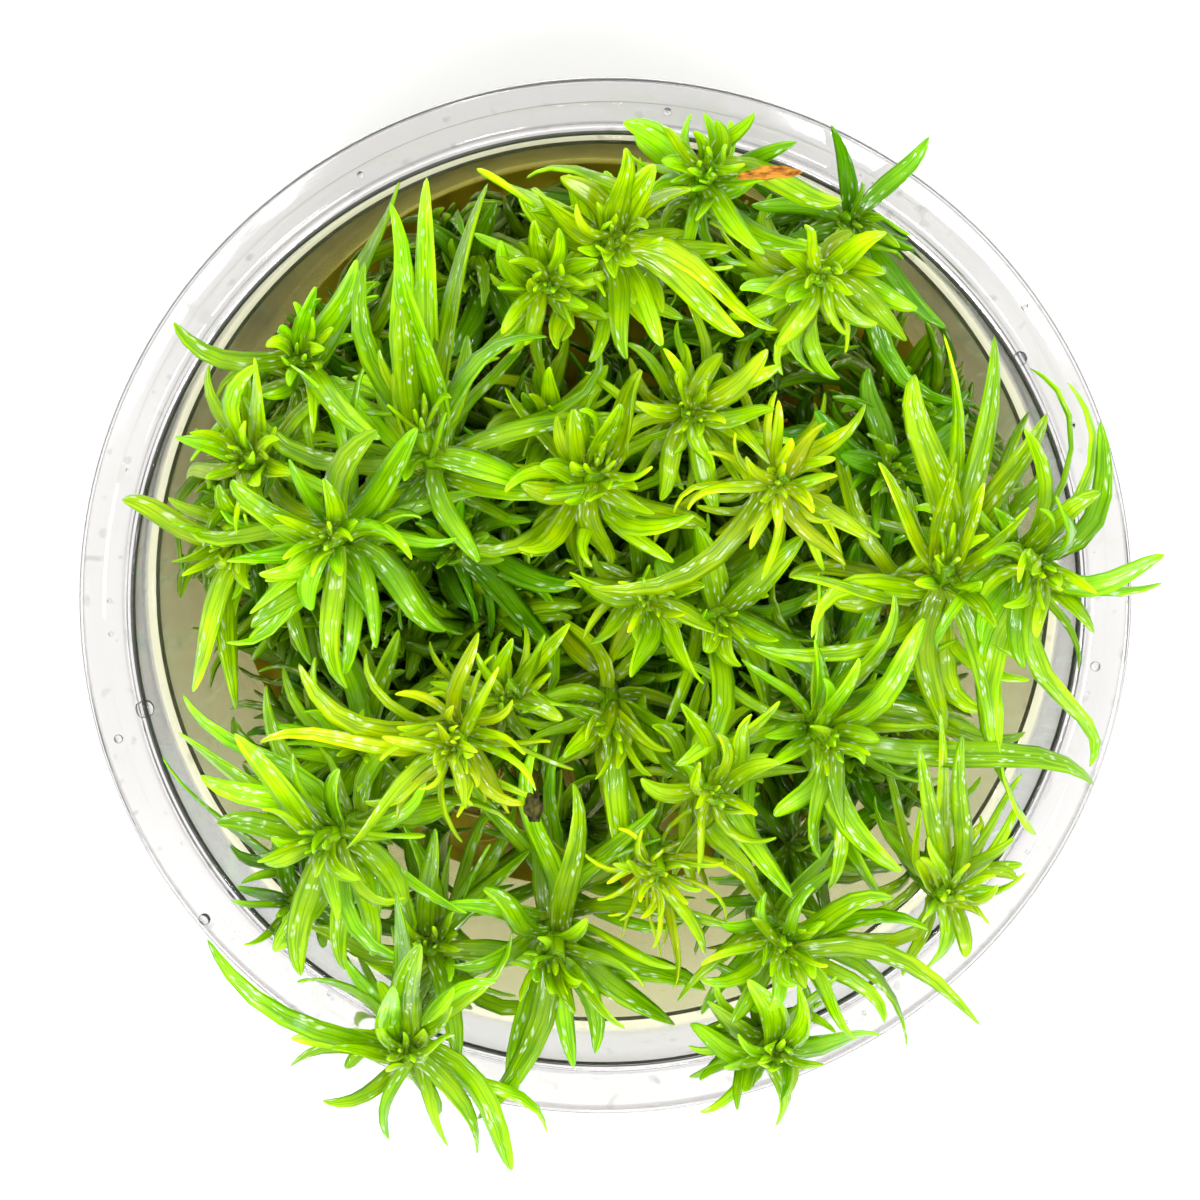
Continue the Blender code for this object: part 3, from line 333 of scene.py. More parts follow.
# Each plantlet: the end of its name, tone, head (x, y as seen, z), foot (x, y, and z where it isn't in the
# gel), lean of the head (x, y), leaf length and width, arch, sideways swirl, and the tips of the leaves that
# show: x, y as seen, z, width, and the leaf's own swirl where it has one.
PLANTLETS = [
    ("high_left", "mid", (-17.3, 17.0, 79), (-14, 13), (-0.15, 0.75), (17, 2.8), 0.2, 0.0, [
        (-20.3, 38.5, 86, 2.6), (-17.6, 39.3, 88, 2.8), (-12.6, 40.8, 86, 3.0), (-22.6, 33.0, 84, 2.6),
        (-15.4, 36.0, 90, 2.8), (-7.0, 11.5, 74, 3.0), (-6.5, 26.7, 76, 2.6), (-19.5, 29.0, 92, 2.6)]),
    ("high_west", "mid", (-26.3, 6.8, 85), (-24, 4), (-0.1, 0.15), (14, 2.7), 0.4, 0.15, [
        (-17.8, 17.3, 84, 2.9), (-21.5, 17.0, 87, 3.0), (-36.0, 4.6, 86, 2.6), (-35.5, 1.3, 83, 2.2),
        (-33.0, 3.4, 88, 2.4), (-15.2, -2.2, 76, 2.6), (-22.4, -4.0, 79, 2.8), (-24.4, -6.2, 75, 2.4),
        (-17.5, 8.6, 82, 2.4), (-28.5, 0.5, 82, 2.2), (-26.8, 12.5, 93, 2.0)]),
    ("west", "bright", (-34.3, 14.3, 74), (-31, 12), (-0.25, 0.15), (11, 2.3), 0.45, 0.0, [
        (-40.7, 16.5, 76, 2.4), (-33.1, 24.0, 80, 2.4), (-31.4, 24.7, 79, 2.2), (-37.3, 23.3, 70, 2.0),
        (-38.6, 17.3, 66, 1.8), (-32.8, 11.8, 79, 2.2), (-30.0, 13.0, 76, 2.2), (-39.6, 12.4, 66, 1.8)]),
    ("northwest", "mid", (-28.6, 24.0, 70), (-26, 20), (0.1, 0.5), (13, 2.2), 0.4, 0.0, [
        (-23.4, 33.2, 77, 2.4), (-19.4, 40.4, 68, 2.8), (-27.3, 30.6, 80, 2.0), (-21.3, 16.2, 84, 2.4),
        (-21.6, 31.0, 72, 2.2), (-30.6, 27.0, 72, 2.0)]),
    ("far_west", "bright", (-35.3, 6.5, 70), (-33, 3), (-0.3, -0.1), (12, 2.4), 0.4, 0.0, [
        (-41.2, 4.6, 70, 2.8), (-41.4, 10.7, 66, 1.8), (-35.3, -9.8, 72, 3.0), (-36.9, -8.2, 68, 2.6),
        (-36.6, 12.0, 75, 2.4), (-38.3, -1.5, 60, 2.0)]),
    ("southwest_high", "mid", (-27.5, -22.5, 82), (-25, -19), (-0.35, 0.1), (14, 2.8), 0.4, 0.0, [
        (-40.3, -8.2, 78, 2.4), (-40.6, -11.4, 77, 2.4), (-39.0, -14.6, 80, 2.6), (-35.5, -12.0, 85, 2.6),
        (-37.3, -20.8, 77, 2.6), (-32.0, -33.5, 72, 3.0), (-28.6, -35.0, 71, 2.8), (-25.2, -35.3, 73, 2.4),
        (-22.6, -34.0, 76, 2.2), (-20.3, -29.5, 78, 2.8), (-25.5, -15.5, 86, 2.4)]),
    ("wall_southwest", "deep", (-30.0, -29.0, 60), (-26.5, -23), (-0.3, -0.1), (12, 2.2), 0.2, 0.0, [
        (-42.4, -14.2, 67, 1.9), (-35.5, -27.0, 65, 2.0), (-31.5, -34.5, 64, 2.0)]),
    ("yellow_star", "yellow", (-14.6, -13.6, 85), (-13, -11), (-0.05, 0.05), (9, 1.9), 0.4, 0.0, [
        (-29.3, -5.2, 84, 3.2), (-33.2, -13.0, 80, 2.2), (-21.7, -14.8, 83, 1.8), (-21.5, -12.4, 86, 1.8),
        (-23.3, -18.7, 81, 2.2), (-24.6, -22.6, 78, 2.0), (-20.1, -20.5, 79, 1.8), (-9.4, -20.0, 80, 1.9),
        (-7.6, -19.0, 83, 1.8), (-7.8, -14.3, 84, 1.9), (-12.2, -2.3, 84, 2.3), (-10.3, -5.6, 86, 1.9),
        (-13.5, -19.5, 82, 1.8)]),
    ("small_centre_west", "bright", (-9.6, -9.0, 70), (-8, -6), (0.0, 0.3), (7, 1.8), 0.2, 0.0, [
        (-9.0, -2.9, 77, 2.0), (-6.4, -3.2, 76, 2.2), (-3.5, -1.5, 73, 1.8), (-15.8, -8.0, 67, 1.8),
        (-8.0, -5.0, 79, 1.6)]),
    ("over_rim_southwest", "mid", (-19.4, -43.5, 78), (-17, -30), (0.0, 0.35), (14, 2.4), 0.35, 0.1, [
        (-20.2, -27.8, 95, 3.4), (-17.4, -30.4, 93, 3.2), (-22.4, -33.0, 92, 2.8), (-38.4, -32.1, 80, 2.2),
        (-30.5, -42.0, 79, 2.4), (-29.9, -44.7, 76, 2.2), (-27.5, -48.3, 72, 1.8), (-21.1, -52.3, 70, 1.6),
        (-15.4, -53.0, 71, 1.5), (-12.6, -53.8, 72, 2.2), (-9.7, -55.2, 69, 2.6), (-14.9, -38.9, 85, 1.6)]),
    ("south", "mid", (-5.0, -34.3, 71), (-5, -26), (0.0, -0.25), (15, 2.8), 0.35, 0.0, [
        (-15.5, -28.8, 72, 2.6), (-12.0, -27.3, 75, 2.4), (-15.0, -34.9, 70, 2.6), (9.5, -37.6, 68, 3.4),
        (6.5, -39.6, 64, 2.8), (-9.2, -48.5, 65, 2.6), (-3.2, -45.2, 65, 2.2), (-1.2, -43.8, 68, 2.4),
        (-12.6, -50.3, 68, 3.0), (-6.6, -13.2, 72, 2.6), (-3.3, -17.0, 75, 2.8)]),
    ("curled_south", "yellow", (4.8, -26.3, 74), (4, -21), (0.0, 0.0), (9, 1.3), 0.6, 0.5, [
        (-2.6, -23.5, 72, 1.3), (-1.0, -28.5, 70, 1.3), (3.2, -30.4, 69, 1.3), (6.4, -37.4, 68, 1.7),
        (9.4, -34.0, 68, 1.8), (0.5, -25.0, 76, 1.3), (3.4, -21.6, 76, 1.3)]),
    ("centre_south", "bright", (0.3, -11.5, 68), (1, -9), (0.0, -0.3), (12, 2.6), 0.35, 0.0, [
        (-1.5, -25.5, 63, 3.0), (1.8, -25.8, 66, 2.6), (5.4, -24.3, 62, 2.8), (-4.2, -14.6, 71, 2.2),
        (7.4, -11.6, 71, 2.0), (-8.2, -10.2, 67, 1.9)]),
    ("rosette_south", "bright", (10.3, -18.3, 76), (9, -15), (0.1, 0.15), (9, 2.0), 0.1, 0.0, [
        (3.2, -16.6, 77, 2.2), (7.0, -9.3, 80, 2.0), (10.5, -12.3, 84, 2.0), (13.8, -10.4, 80, 2.0),
        (16.6, -15.2, 80, 2.0), (15.3, -12.5, 84, 1.9), (4.2, -11.5, 77, 2.0), (11.3, -25.5, 66, 2.6),
        (13.9, -26.5, 67, 2.6), (8.3, -24.0, 65, 2.4), (17.8, -28.5, 72, 2.6)]),
    ("star_southeast", "mid", (21.3, -13.3, 78), (19, -11), (0.1, 0.0), (13, 2.2), 0.3, 0.0, [
        (27.2, 1.2, 79, 2.6), (24.0, -5.0, 84, 2.0), (19.7, -3.2, 80, 2.2), (30.2, -0.5, 76, 2.6),
        (15.0, -12.6, 76, 1.8), (15.6, -15.6, 74, 2.0), (16.0, -20.0, 71, 2.4), (26.8, -29.4, 70, 2.4),
        (28.4, -26.0, 74, 2.8), (20.6, -24.7, 71, 2.2), (22.6, -21.5, 76, 2.2), (40.0, -12.3, 66, 2.4),
        (46.7, -17.6, 66, 2.8)]),
    ("swirl_east", "mid", (41.3, 3.3, 82), (34, 0), (0.15, -0.1), (13, 2.2), 0.35, -0.5, [
        (43.4, 21.3, 79, 1.9, -1.0), (46.2, 18.0, 78, 2.4, -1.0), (52.8, 2.1, 75, 1.5), (53.0, 4.8, 79, 2.4),
        (46.8, 10.8, 83, 2.4, 0.6), (46.4, -2.8, 81, 2.6), (35.6, -3.6, 79, 2.0), (41.2, -22.4, 68, 3.0),
        (46.2, -15.8, 68, 2.2), (36.6, 9.4, 86, 2.0), (42.5, 10.5, 88, 2.0), (39.5, -6.0, 78, 2.2)]),
    ("tall_east", "bright", (32.3, 4.0, 78), (28, 1), (0.0, 0.6), (17, 3.0), 0.15, 0.0, [
        (29.0, 22.2, 84, 3.4), (31.6, 26.0, 80, 2.4), (36.4, 25.8, 78, 2.6), (41.5, 18.4, 76, 2.6),
        (33.0, 13.8, 91, 1.8), (35.7, 11.8, 90, 1.6), (32.3, -12.5, 71, 3.0), (35.7, -14.6, 70, 2.8)]),
    ("northeast_low", "deep", (26.7, 12.6, 66), (24, 11), (0.0, 0.1), (11, 2.6), 0.35, 0.0, [
        (19.5, 18.8, 69, 3.0), (22.0, 14.5, 70, 2.4), (33.0, 17.5, 66, 2.2), (28.3, 6.5, 62, 2.6),
        (22.0, 9.0, 64, 2.2)]),
    ("bright_star_east", "yellow", (16.3, 11.8, 82), (15, 9), (0.0, 0.1), (10, 2.3), 0.25, 0.0, [
        (20.7, 17.6, 86, 2.2), (22.9, 17.4, 83, 2.0), (16.1, 19.8, 84, 1.6), (24.8, 6.4, 80, 2.8),
        (22.6, 3.9, 80, 2.4), (21.8, 12.5, 84, 1.8), (-1.8, 2.0, 79, 3.2), (12.5, 6.0, 78, 2.0)]),
    ("centre_north", "bright", (8.0, 18.6, 76), (8, 15), (0.0, 0.1), (9, 2.0), 0.3, 0.0, [
        (15.1, 24.6, 78, 2.4), (14.9, 22.3, 80, 2.2), (15.6, 19.9, 75, 2.0), (5.0, 10.2, 74, 2.2),
        (7.4, 9.0, 73, 2.4), (10.0, 13.0, 75, 1.8), (15.4, 13.6, 78, 2.0), (10.8, 24.2, 73, 2.0)]),
    ("centre_bud", "bright", (-0.8, 13.2, 78), (-1, 10), (0.15, 0.45), (11, 3.0), 0.15, 0.0, [
        (3.3, 22.6, 86, 3.4), (1.2, 19.5, 91, 3.0), (-2.2, 18.5, 86, 2.6), (-8.2, 11.9, 78, 2.4),
        (9.5, 7.6, 71, 2.6), (4.5, 9.0, 77, 2.2), (0.3, 4.0, 70, 2.6)]),
    ("north_star", "bright", (-5.4, 30.8, 77), (-5, 26), (0.0, 0.1), (8, 2.2), 0.3, 0.0, [
        (-6.8, 36.8, 84, 2.2), (-4.6, 36.0, 84, 1.8), (-0.8, 33.0, 81, 2.0), (-10.2, 30.4, 78, 2.2),
        (-10.2, 33.4, 78, 2.4), (-12.8, 23.3, 71, 2.0), (-7.8, 25.0, 74, 2.0), (-4.6, 24.6, 74, 2.2),
        (-1.8, 28.6, 79, 2.0)]),
    ("north_bud", "bright", (0.6, 35.2, 83), (1, 30), (0.05, 0.25), (10, 2.8), 0.2, 0.0, [
        (-12.2, 41.6, 79, 3.0), (-7.8, 38.2, 85, 2.8), (-4.4, 40.8, 80, 2.6), (1.6, 43.5, 91, 3.0),
        (4.4, 42.0, 89, 3.0), (7.9, 39.6, 86, 2.6), (1.9, 23.6, 82, 2.4), (3.0, 29.0, 79, 2.2),
        (9.2, 36.4, 81, 2.6), (12.9, 25.8, 78, 2.6), (16.1, 26.4, 77, 2.6)]),
    ("north_rim", "mid", (9.3, 41.5, 80), (8, 33), (0.0, 0.25), (9, 2.4), 0.3, 0.0, [
        (1.4, 45.8, 83, 3.0), (13.7, 46.7, 80, 1.8), (17.7, 44.0, 79, 2.0), (17.4, 41.5, 84, 2.6),
        (20.2, 34.0, 80, 2.6), (22.0, 38.5, 75, 2.4), (14.8, 33.5, 81, 2.4), (3.9, 39.2, 80, 2.4),
        (-7.6, 40.6, 70, 2.0)]),
    ("northeast", "bright", (20.2, 31.4, 80), (18, 27), (0.0, 0.05), (8, 2.5), 0.3, 0.0, [
        (12.4, 30.2, 80, 2.6), (16.2, 33.8, 83, 2.2), (26.2, 35.5, 82, 2.6), (9.4, 36.6, 77, 3.0),
        (29.2, 28.3, 76, 2.6), (28.0, 25.4, 75, 2.6), (19.5, 22.3, 74, 3.0), (16.2, 28.6, 83, 2.2),
        (26.8, 31.8, 79, 2.4)]),
    ("wall_northeast", "deep", (23.0, 36.5, 66), (19, 29.5), (0.3, -0.1), (13, 2.0), 0.15, -0.2, [
        (28.8, 34.0, 70, 1.8), (31.9, 26.5, 66, 2.4), (33.6, 19.5, 62, 2.6)]),
    ("southeast_tuft", "bright", (33.0, -28.0, 73), (27.5, -22), (0.05, 0.3), (12, 2.0), 0.25, 0.0, [
        (29.8, -13.6, 83, 2.0), (31.8, -10.4, 80, 2.0), (34.0, -12.5, 84, 2.0), (36.2, -13.5, 81, 1.8),
        (39.1, -22.6, 74, 2.0), (30.7, -35.6, 68, 2.2, 0.9), (33.6, -34.6, 70, 1.8, 0.9),
        (37.6, -27.5, 72, 2.0)]),
    ("rosette_southeast", "mid", (17.0, -33.5, 77), (17, -26), (0.0, 0.1), (11, 2.4), 0.35, 0.2, [
        (31.0, -31.8, 77, 2.4), (27.6, -28.6, 79, 2.4), (26.8, -41.0, 69, 1.8, 0.6),
        (29.0, -43.3, 68, 1.8, 0.6), (36.1, -41.3, 74, 2.4), (12.0, -40.9, 72, 2.2),
        (24.1, -42.6, 74, 2.0), (20.0, -27.4, 85, 1.6),
        (11.0, -31.0, 74, 2.2)]),
    ("on_rim_south", "mid", (16.4, -44.0, 70), (14.8, -41.8, 63), (0.0, 0.3), (10, 2.6), 0.3, 0.0, [
        (26.5, -42.2, 70, 2.8), (16.4, -51.2, 65, 2.2), (13.6, -36.5, 77, 3.0), (18.4, -37.0, 78, 2.4),
        (9.6, -38.6, 70, 2.4), (21.0, -38.0, 76, 2.2)]),
    ("small_north", "bright", (-5.4, 17.4, 67), (-5, 14), (0.0, 0.1), (7, 1.9), 0.3, 0.0, [
        (-5.4, 23.0, 72, 2.2), (-7.9, 12.4, 70, 2.0), (-11.6, 16.4, 69, 2.0, -0.6), (-3.4, 15.4, 70, 1.8),
        (-8.0, 20.6, 71, 1.8)]),
    ("small_west", "mid", (-23.0, -13.5, 66), (-21, -10), (0.0, 0.2), (12, 2.2), 0.2, 0.0, [
        (-26.5, -3.5, 68, 2.4), (-19.8, -2.0, 70, 2.2), (-30.5, -16.5, 66, 2.2), (-25.5, -19.0, 68, 2.6),
        (-20.5, -23.0, 70, 2.6), (-29.0, -10.0, 68, 2.2)]),
    ("centre", "bright", (3.8, 0.5, 73), (3, -1), (0.0, 0.0), (8, 2.4), 0.25, 0.0, [
        (2.2, -6.8, 74, 3.0), (9.3, 2.0, 77, 2.2), (9.3, -7.5, 72, 3.0), (3.2, 4.5, 80, 1.8),
        (-1.5, -3.5, 72, 2.0)]),
    ("broad_east", "mid", (10.8, -1.0, 70), (11, -3), (0.2, -0.1), (11, 3.2), 0.3, 0.0, [
        (20.6, -3.4, 67, 3.2), (19.0, -7.2, 64, 3.2), (8.0, -14.0, 78, 2.6), (15.6, 5.0, 71, 2.2),
        (16.5, -11.5, 62, 3.0)]),
    ("low_west", "deep", (-14.0, 6.0, 63), (-12, 4), (0.0, 0.1), (11, 2.2), 0.3, 0.0, [
        (-2.7, 2.4, 63, 2.8), (-4.6, -0.4, 60, 2.2), (-17.8, 8.5, 66, 2.0), (-13.8, 10.5, 68, 1.8),
        (-12.5, -1.5, 61, 1.8), (-20.0, 5.6, 65, 2.0), (-4.0, -4.5, 58, 2.6)]),
    ("low_southwest", "mid", (-17.0, -33.0, 66), (-16, -26), (0.0, 0.4), (13, 2.4), 0.15, 0.0, [
        (-16.4, -21.4, 80, 2.2), (-19.6, -21.0, 74, 2.8), (-13.6, -38.0, 66, 2.2)]),
    ("low_east", "deep", (21.6, -4.5, 58), (21, -2), (0.2, 0.5), (12, 2.4), 0.15, 0.0, [
        (27.7, 9.6, 61, 2.8), (19.8, 5.0, 62, 2.2), (23.6, 7.0, 62, 2.2)]),
]


def bezier(corners, shares):
    """Cubic curve P(t) = a(1-t)^3 + 3 b t(1-t)^2 + 3 c t^2(1-t) + d t^3, with its unit tangents.

    The corners may be single points or whole arrays of them; the shares run along the second axis then.
    """
    a, b, c, d = (np.asarray(corner)[..., None, :] for corner in corners)
    t = np.asarray(shares)[:, None]
    points = a * (1 - t) ** 3 + b * 3 * t * (1 - t) ** 2 + c * 3 * t ** 2 * (1 - t) + d * t ** 3
    slopes = (b - a) * 3 * (1 - t) ** 2 + (c - b) * 6 * t * (1 - t) + (d - c) * 3 * t ** 2
    return points, slopes / np.sqrt((slopes ** 2).sum(axis=-1))[..., None]


def swung(first, second, angle):
    """The direction that has turned from the first by an angle towards the second, square to it."""
    return math.cos(angle) * first + math.sin(angle) * second


def turned_about(vector, axis, angle):
    """A vector turned about a unit axis."""
    return (vector * math.cos(angle) + np.cross(axis, vector) * math.sin(angle)
            + axis * (axis @ vector) * (1.0 - math.cos(angle)))


def make_tree(points, faces):
    """A search tree with its box."""
    array = np.asarray(points)
    tree = BVHTree.FromPolygons([tuple(p) for p in array.tolist()], faces)
    return {"tree": tree, "low": array.min(axis=0), "high": array.max(axis=0)}


class Crowd:
    """Everything grown so far, as search trees whose boxes are compared all at once."""

    def __init__(self, shapes):
        self.trees = [shape["tree"] for shape in shapes]
        self.low = np.array([shape["low"] for shape in shapes])
        self.high = np.array([shape["high"] for shape in shapes])

    def add(self, shape):
        """Take one more shape in."""
        self.trees.append(shape["tree"])
        self.low = np.vstack([self.low, shape["low"]])
        self.high = np.vstack([self.high, shape["high"]])

    def leaves_room(self, shape):
        """Whether a shape touches none of them."""
        near = (shape["low"] < self.high).all(axis=1) & (shape["high"] > self.low).all(axis=1)
        return not any(shape["tree"].overlap(self.trees[index]) for index in np.flatnonzero(near))


def grow_stem(head, foot, lean, whorls, stem_radius=STEM_RADIUS):
    """Rings of a six-sided stem from its foot to the head, and the side faces that leaves can grow from."""
    top_axis = unit(np.array([lean[0], lean[1], 1.0]))
    start = np.array(foot if len(foot) == 3 else (foot[0], foot[1], GEL_HEIGHT + GAP), dtype=float)
    rise = head[2] - start[2]
    corners = (start, start + (0.0, 0.0, FOOT_PULL * rise), head - top_axis * HEAD_PULL * rise, head)
    length = math.sqrt(float((head - start) @ (head - start)))
    low_whorl = 1.0 - ((whorls - 1) * WHORL_SPACING + WHORL_HEIGHT) / length
    shares = [0.0, 0.5 * low_whorl]
    for whorl in range(whorls):
        low = low_whorl + whorl * WHORL_SPACING / length
        shares += [low, low + WHORL_HEIGHT / length]
    centres, axes = bezier(corners, shares)
    across = unit(np.cross(axes[0], (0.3, 1.0, 0.1)))
    angles = np.arange(STEM_SIDES) * (2.0 * math.pi / STEM_SIDES)
    rings = []
    for index, (centre, axis) in enumerate(zip(centres, axes)):
        across = unit(across - axis * (across @ axis))
        whorl = (index - PLAIN_RINGS) // 2
        turn = angles + (math.pi / STEM_SIDES if whorl % 2 else 0.0)
        radius = stem_radius * (1.0 - STEM_TAPER * max(0, whorl))
        other = np.cross(axis, across)
        rings.append(centre + radius * (np.cos(turn)[:, None] * across + np.sin(turn)[:, None] * other))
    sockets = []
    for whorl in range(whorls):
        first = PLAIN_RINGS + 2 * whorl
        low, high = rings[first], rings[first + 1]
        for side in range(STEM_SIDES):
            after = (side + 1) % STEM_SIDES
            base = (low[side] + low[after] + high[side] + high[after]) / 4.0
            radial = unit((high[side] + high[after]) / 2.0 - centres[first + 1])
            sockets.append({"whorl": whorl, "base": base, "radial": radial, "axis": axes[first + 1],
                            "leaf": None})
    return {"rings": rings, "top": head + top_axis * BUD_HEIGHT, "axis": top_axis, "head": head, "feet": [],
            "sockets": sockets, "whorls": whorls, "corners": corners, "across": across, "radius": stem_radius}


def ring_tree(rings, tip):
    """Search tree of a closed form: its first ring, the quads between its rings and the fan to its tip."""
    sides = len(rings[0])
    last = (len(rings) - 1) * sides
    neighbours = [(side, (side + 1) % sides) for side in range(sides)]
    faces = [tuple(range(sides))[::-1]]
    faces += [(low + side, low + after, low + sides + after, low + sides + side)
              for low in range(0, last, sides) for side, after in neighbours]
    faces += [(last + side, last + after, last + sides) for side, after in neighbours]
    return make_tree([p for ring in rings for p in ring] + [tip], faces)


def leaf_curve(socket, tip, arch, swirl):
    """Corners of a leaf's middle line: it leaves the stem upwards, arches over and may swirl sideways."""
    chord = tip - socket["base"]
    reach = math.sqrt(float(chord @ chord))
    along = chord / reach
    aside = np.cross(socket["axis"], along)
    bow = arch * socket["axis"] + swirl * aside
    start = unit(along + bow + 0.15 * socket["radial"])
    end = unit(along - bow)
    return (socket["base"], socket["base"] + start * reach * 0.36, tip - end * reach * 0.34, tip)


def leaf_rings(socket, corners, width, swell):
    """Left edge, right edge and keel at two or three stations of a leaf's solid, and its tip."""
    chord = corners[3] - corners[0]
    reach = math.sqrt(float(chord @ chord))
    shares, widths = (0.25, 0.65), (0.85, 0.92)
    if reach > LONG_LEAF:
        shares, widths = (0.2, 0.5, 0.8), (0.8, 1.0, 0.72)
    centres, tangents = bezier(corners, shares)
    across = unit(np.cross(socket["axis"], unit(chord) + SOCKET_SHARE * socket["radial"]))
    rings = []
    for centre, tangent, share in zip(centres, tangents, widths):
        side = unit(across - tangent * (across @ tangent))
        normal = np.cross(tangent, side)
        half = side * (width * share / 2.0 + swell)
        rings.append((centre + half + normal * swell, centre - half + normal * swell,
                      centre - normal * (LEAF_THICKNESS * share + swell)))
    return rings, corners[3] + unit(corners[3] - corners[2]) * swell


def test_shape(socket, corners, width, swell):
    """A search tree of the leaf's solid, swollen by its clearance, without its foot on the stem."""
    return ring_tree(*leaf_rings(socket, corners, width, swell))


def foot_shape(socket, corners, width):
    """A search tree of the leaf's first stretch, from just outside the stem to its first ring."""
    ring = leaf_rings(socket, corners, width, 0.0)[0][0]
    start = corners[0] + (corners[1] - corners[0]) * 0.3
    side = (ring[0] - ring[1]) * 0.3
    points = [start + side, start - side, start - socket["axis"] * WHORL_HEIGHT / 2.0, *ring]
    return make_tree(points, [(0, 1, 2), (3, 4, 5), (0, 1, 4, 3), (1, 2, 5, 4), (2, 0, 3, 5)])


BENDS = [(0, 0), (0, 6), (0, -6), (6, 0), (-6, 0), (0, 12), (8, 8), (-8, 8), (0, -12), (12, 0), (-12, 0),
         (14, 10), (-14, 10), (0, 18), (18, 0), (-18, 0), (20, 14), (-20, 14), (0, 25)]


def grow_leaf(plant, socket, tip, width, swirl, crowd):
    """Grow one leaf along the first trial bend that is clear, if there is one: full length, then shorter."""
    chord = tip - socket["base"]
    level = unit(np.cross(plant["axis"], unit(chord) + SOCKET_SHARE * socket["radial"]))
    feet = Crowd(plant["others"] + [shape for whorl, shape in plant["feet"] if whorl != socket["whorl"]])
    for turn, lift, length in [(turn, lift, length) for length in (1.0, 0.8) for turn, lift in BENDS]:
        bent = turned_about(chord, plant["axis"], math.radians(turn))
        bent = turned_about(bent, level, math.radians(-lift)) * length
        corners = leaf_curve(socket, socket["base"] + bent, plant["arch"], swirl)
        shape = test_shape(socket, corners, width, CLEARANCE)
        foot = foot_shape(socket, corners, width)
        if crowd.leaves_room(shape) and feet.leaves_room(foot):
            socket["leaf"] = (corners, width)
            crowd.add(shape)
            plant["feet"].append((socket["whorl"], foot))
            return


def choose_socket(plant, tip):
    """The free side face that looks most towards the tip, low on the stem for leaves that spread."""
    axis = plant["axis"]
    chord = unit(tip - plant["head"])
    level = unit(chord - axis * (chord @ axis))
    spread = math.degrees(math.acos(float(chord @ axis)))
    wanted = (plant["whorls"] - 1) * (1.0 - min(1.0, spread / 110.0))
    free = [socket for socket in plant["sockets"] if socket["leaf"] is None]
    return max(free, key=lambda socket: float(level @ socket["radial"]) - 0.3 * abs(socket["whorl"] - wanted),
               default=None)


walls = []
for wall in ("cup", "agar_gel"):
    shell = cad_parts[wall].data
    walls.append(make_tree(np.array([v.co for v in shell.vertices]) / MM,
                           [tuple(p.vertices) for p in shell.polygons]))
plants = []
for name, tone, head, foot, lean, leaf, arch, swirl, tips in PLANTLETS:
    plant = grow_stem(seen(*head), foot, lean, FEW_WHORLS if len(tips) <= FEW_TIPS else WHORLS)
    plant.update(low=False, name="plantlet_" + name, tone=tone, leaf=leaf, arch=arch, swirl=swirl, tips=tips,
                 tree=ring_tree(plant["rings"], plant["top"]))
    plants.append(plant)
for plant in plants:
    plant["others"] = walls + [other["tree"] for other in plants if other is not plant]
crowd = Crowd(walls + [plant["tree"] for plant in plants])
for plant in plants:
    for x, y, z, width, *swirl in plant["tips"]:
        tip = seen(x, y, z)
        socket = choose_socket(plant, tip)
        if socket is not None:
            grow_leaf(plant, socket, tip, width, swirl[0] if swirl else plant["swirl"], crowd)
draw = np.random.default_rng(7)
for plant in plants:
    for socket in plant["sockets"][::-1]:
        turn = draw.uniform(-10.0, 10.0)
        length = plant["leaf"][0] * draw.uniform(0.7, 1.0)
        grown = sum(each["leaf"] is not None for each in plant["sockets"])
        if socket["leaf"] is None and grown < FEWEST_LEAVES:
            spread = math.radians(100.0 - 24.0 * socket["whorl"])
            outward = turned_about(socket["radial"], socket["axis"], math.radians(turn))
            way = swung(socket["axis"], outward, spread)
            tip = socket["base"] + way * length - (0.0, 0.0, 1.5)
            grow_leaf(plant, socket, tip, plant["leaf"][1], plant["swirl"], crowd)


# Low shoots
# Short shoots stand between the stems of the tall plantlets and never reach the light: small and dense, their
# dark green painted shade.
# They grow as their solids do, each at the free place nearest to its own, with one whorl of six leaves.
LOW_SHOOTS = [
    ("west", (-29.0, -5.0, 42.0), 11.0),
    ("northwest", (-22.0, 17.0, 50.0), 11.0),
    ("north", (-12.0, 30.0, 48.0), 11.0),
    ("northeast", (12.0, 24.0, 48.0), 11.0),
    ("east", (24.0, 8.0, 44.0), 11.0),
    ("southeast", (24.0, -17.0, 52.0), 11.0),
    ("southwest", (-26.5, -15.0, 44.0), 9.0),
    ("centre", (-5.0, 5.0, 46.0), 11.0),
    ("centre_west", (-17.0, 4.0, 52.0), 11.0),
    ("centre_east", (8.0, -6.0, 46.0), 11.0),
]
LOW_RADIUS = 0.9
LOW_WIDTH = 2.4


def low_stem(head, stem_radius):
    """Stem of a low shoot, leaning outwards a little, with a single whorl."""
    return grow_stem(head, (head[0] * 0.85, head[1] * 0.85), head[:2] * 0.004, 1, stem_radius)


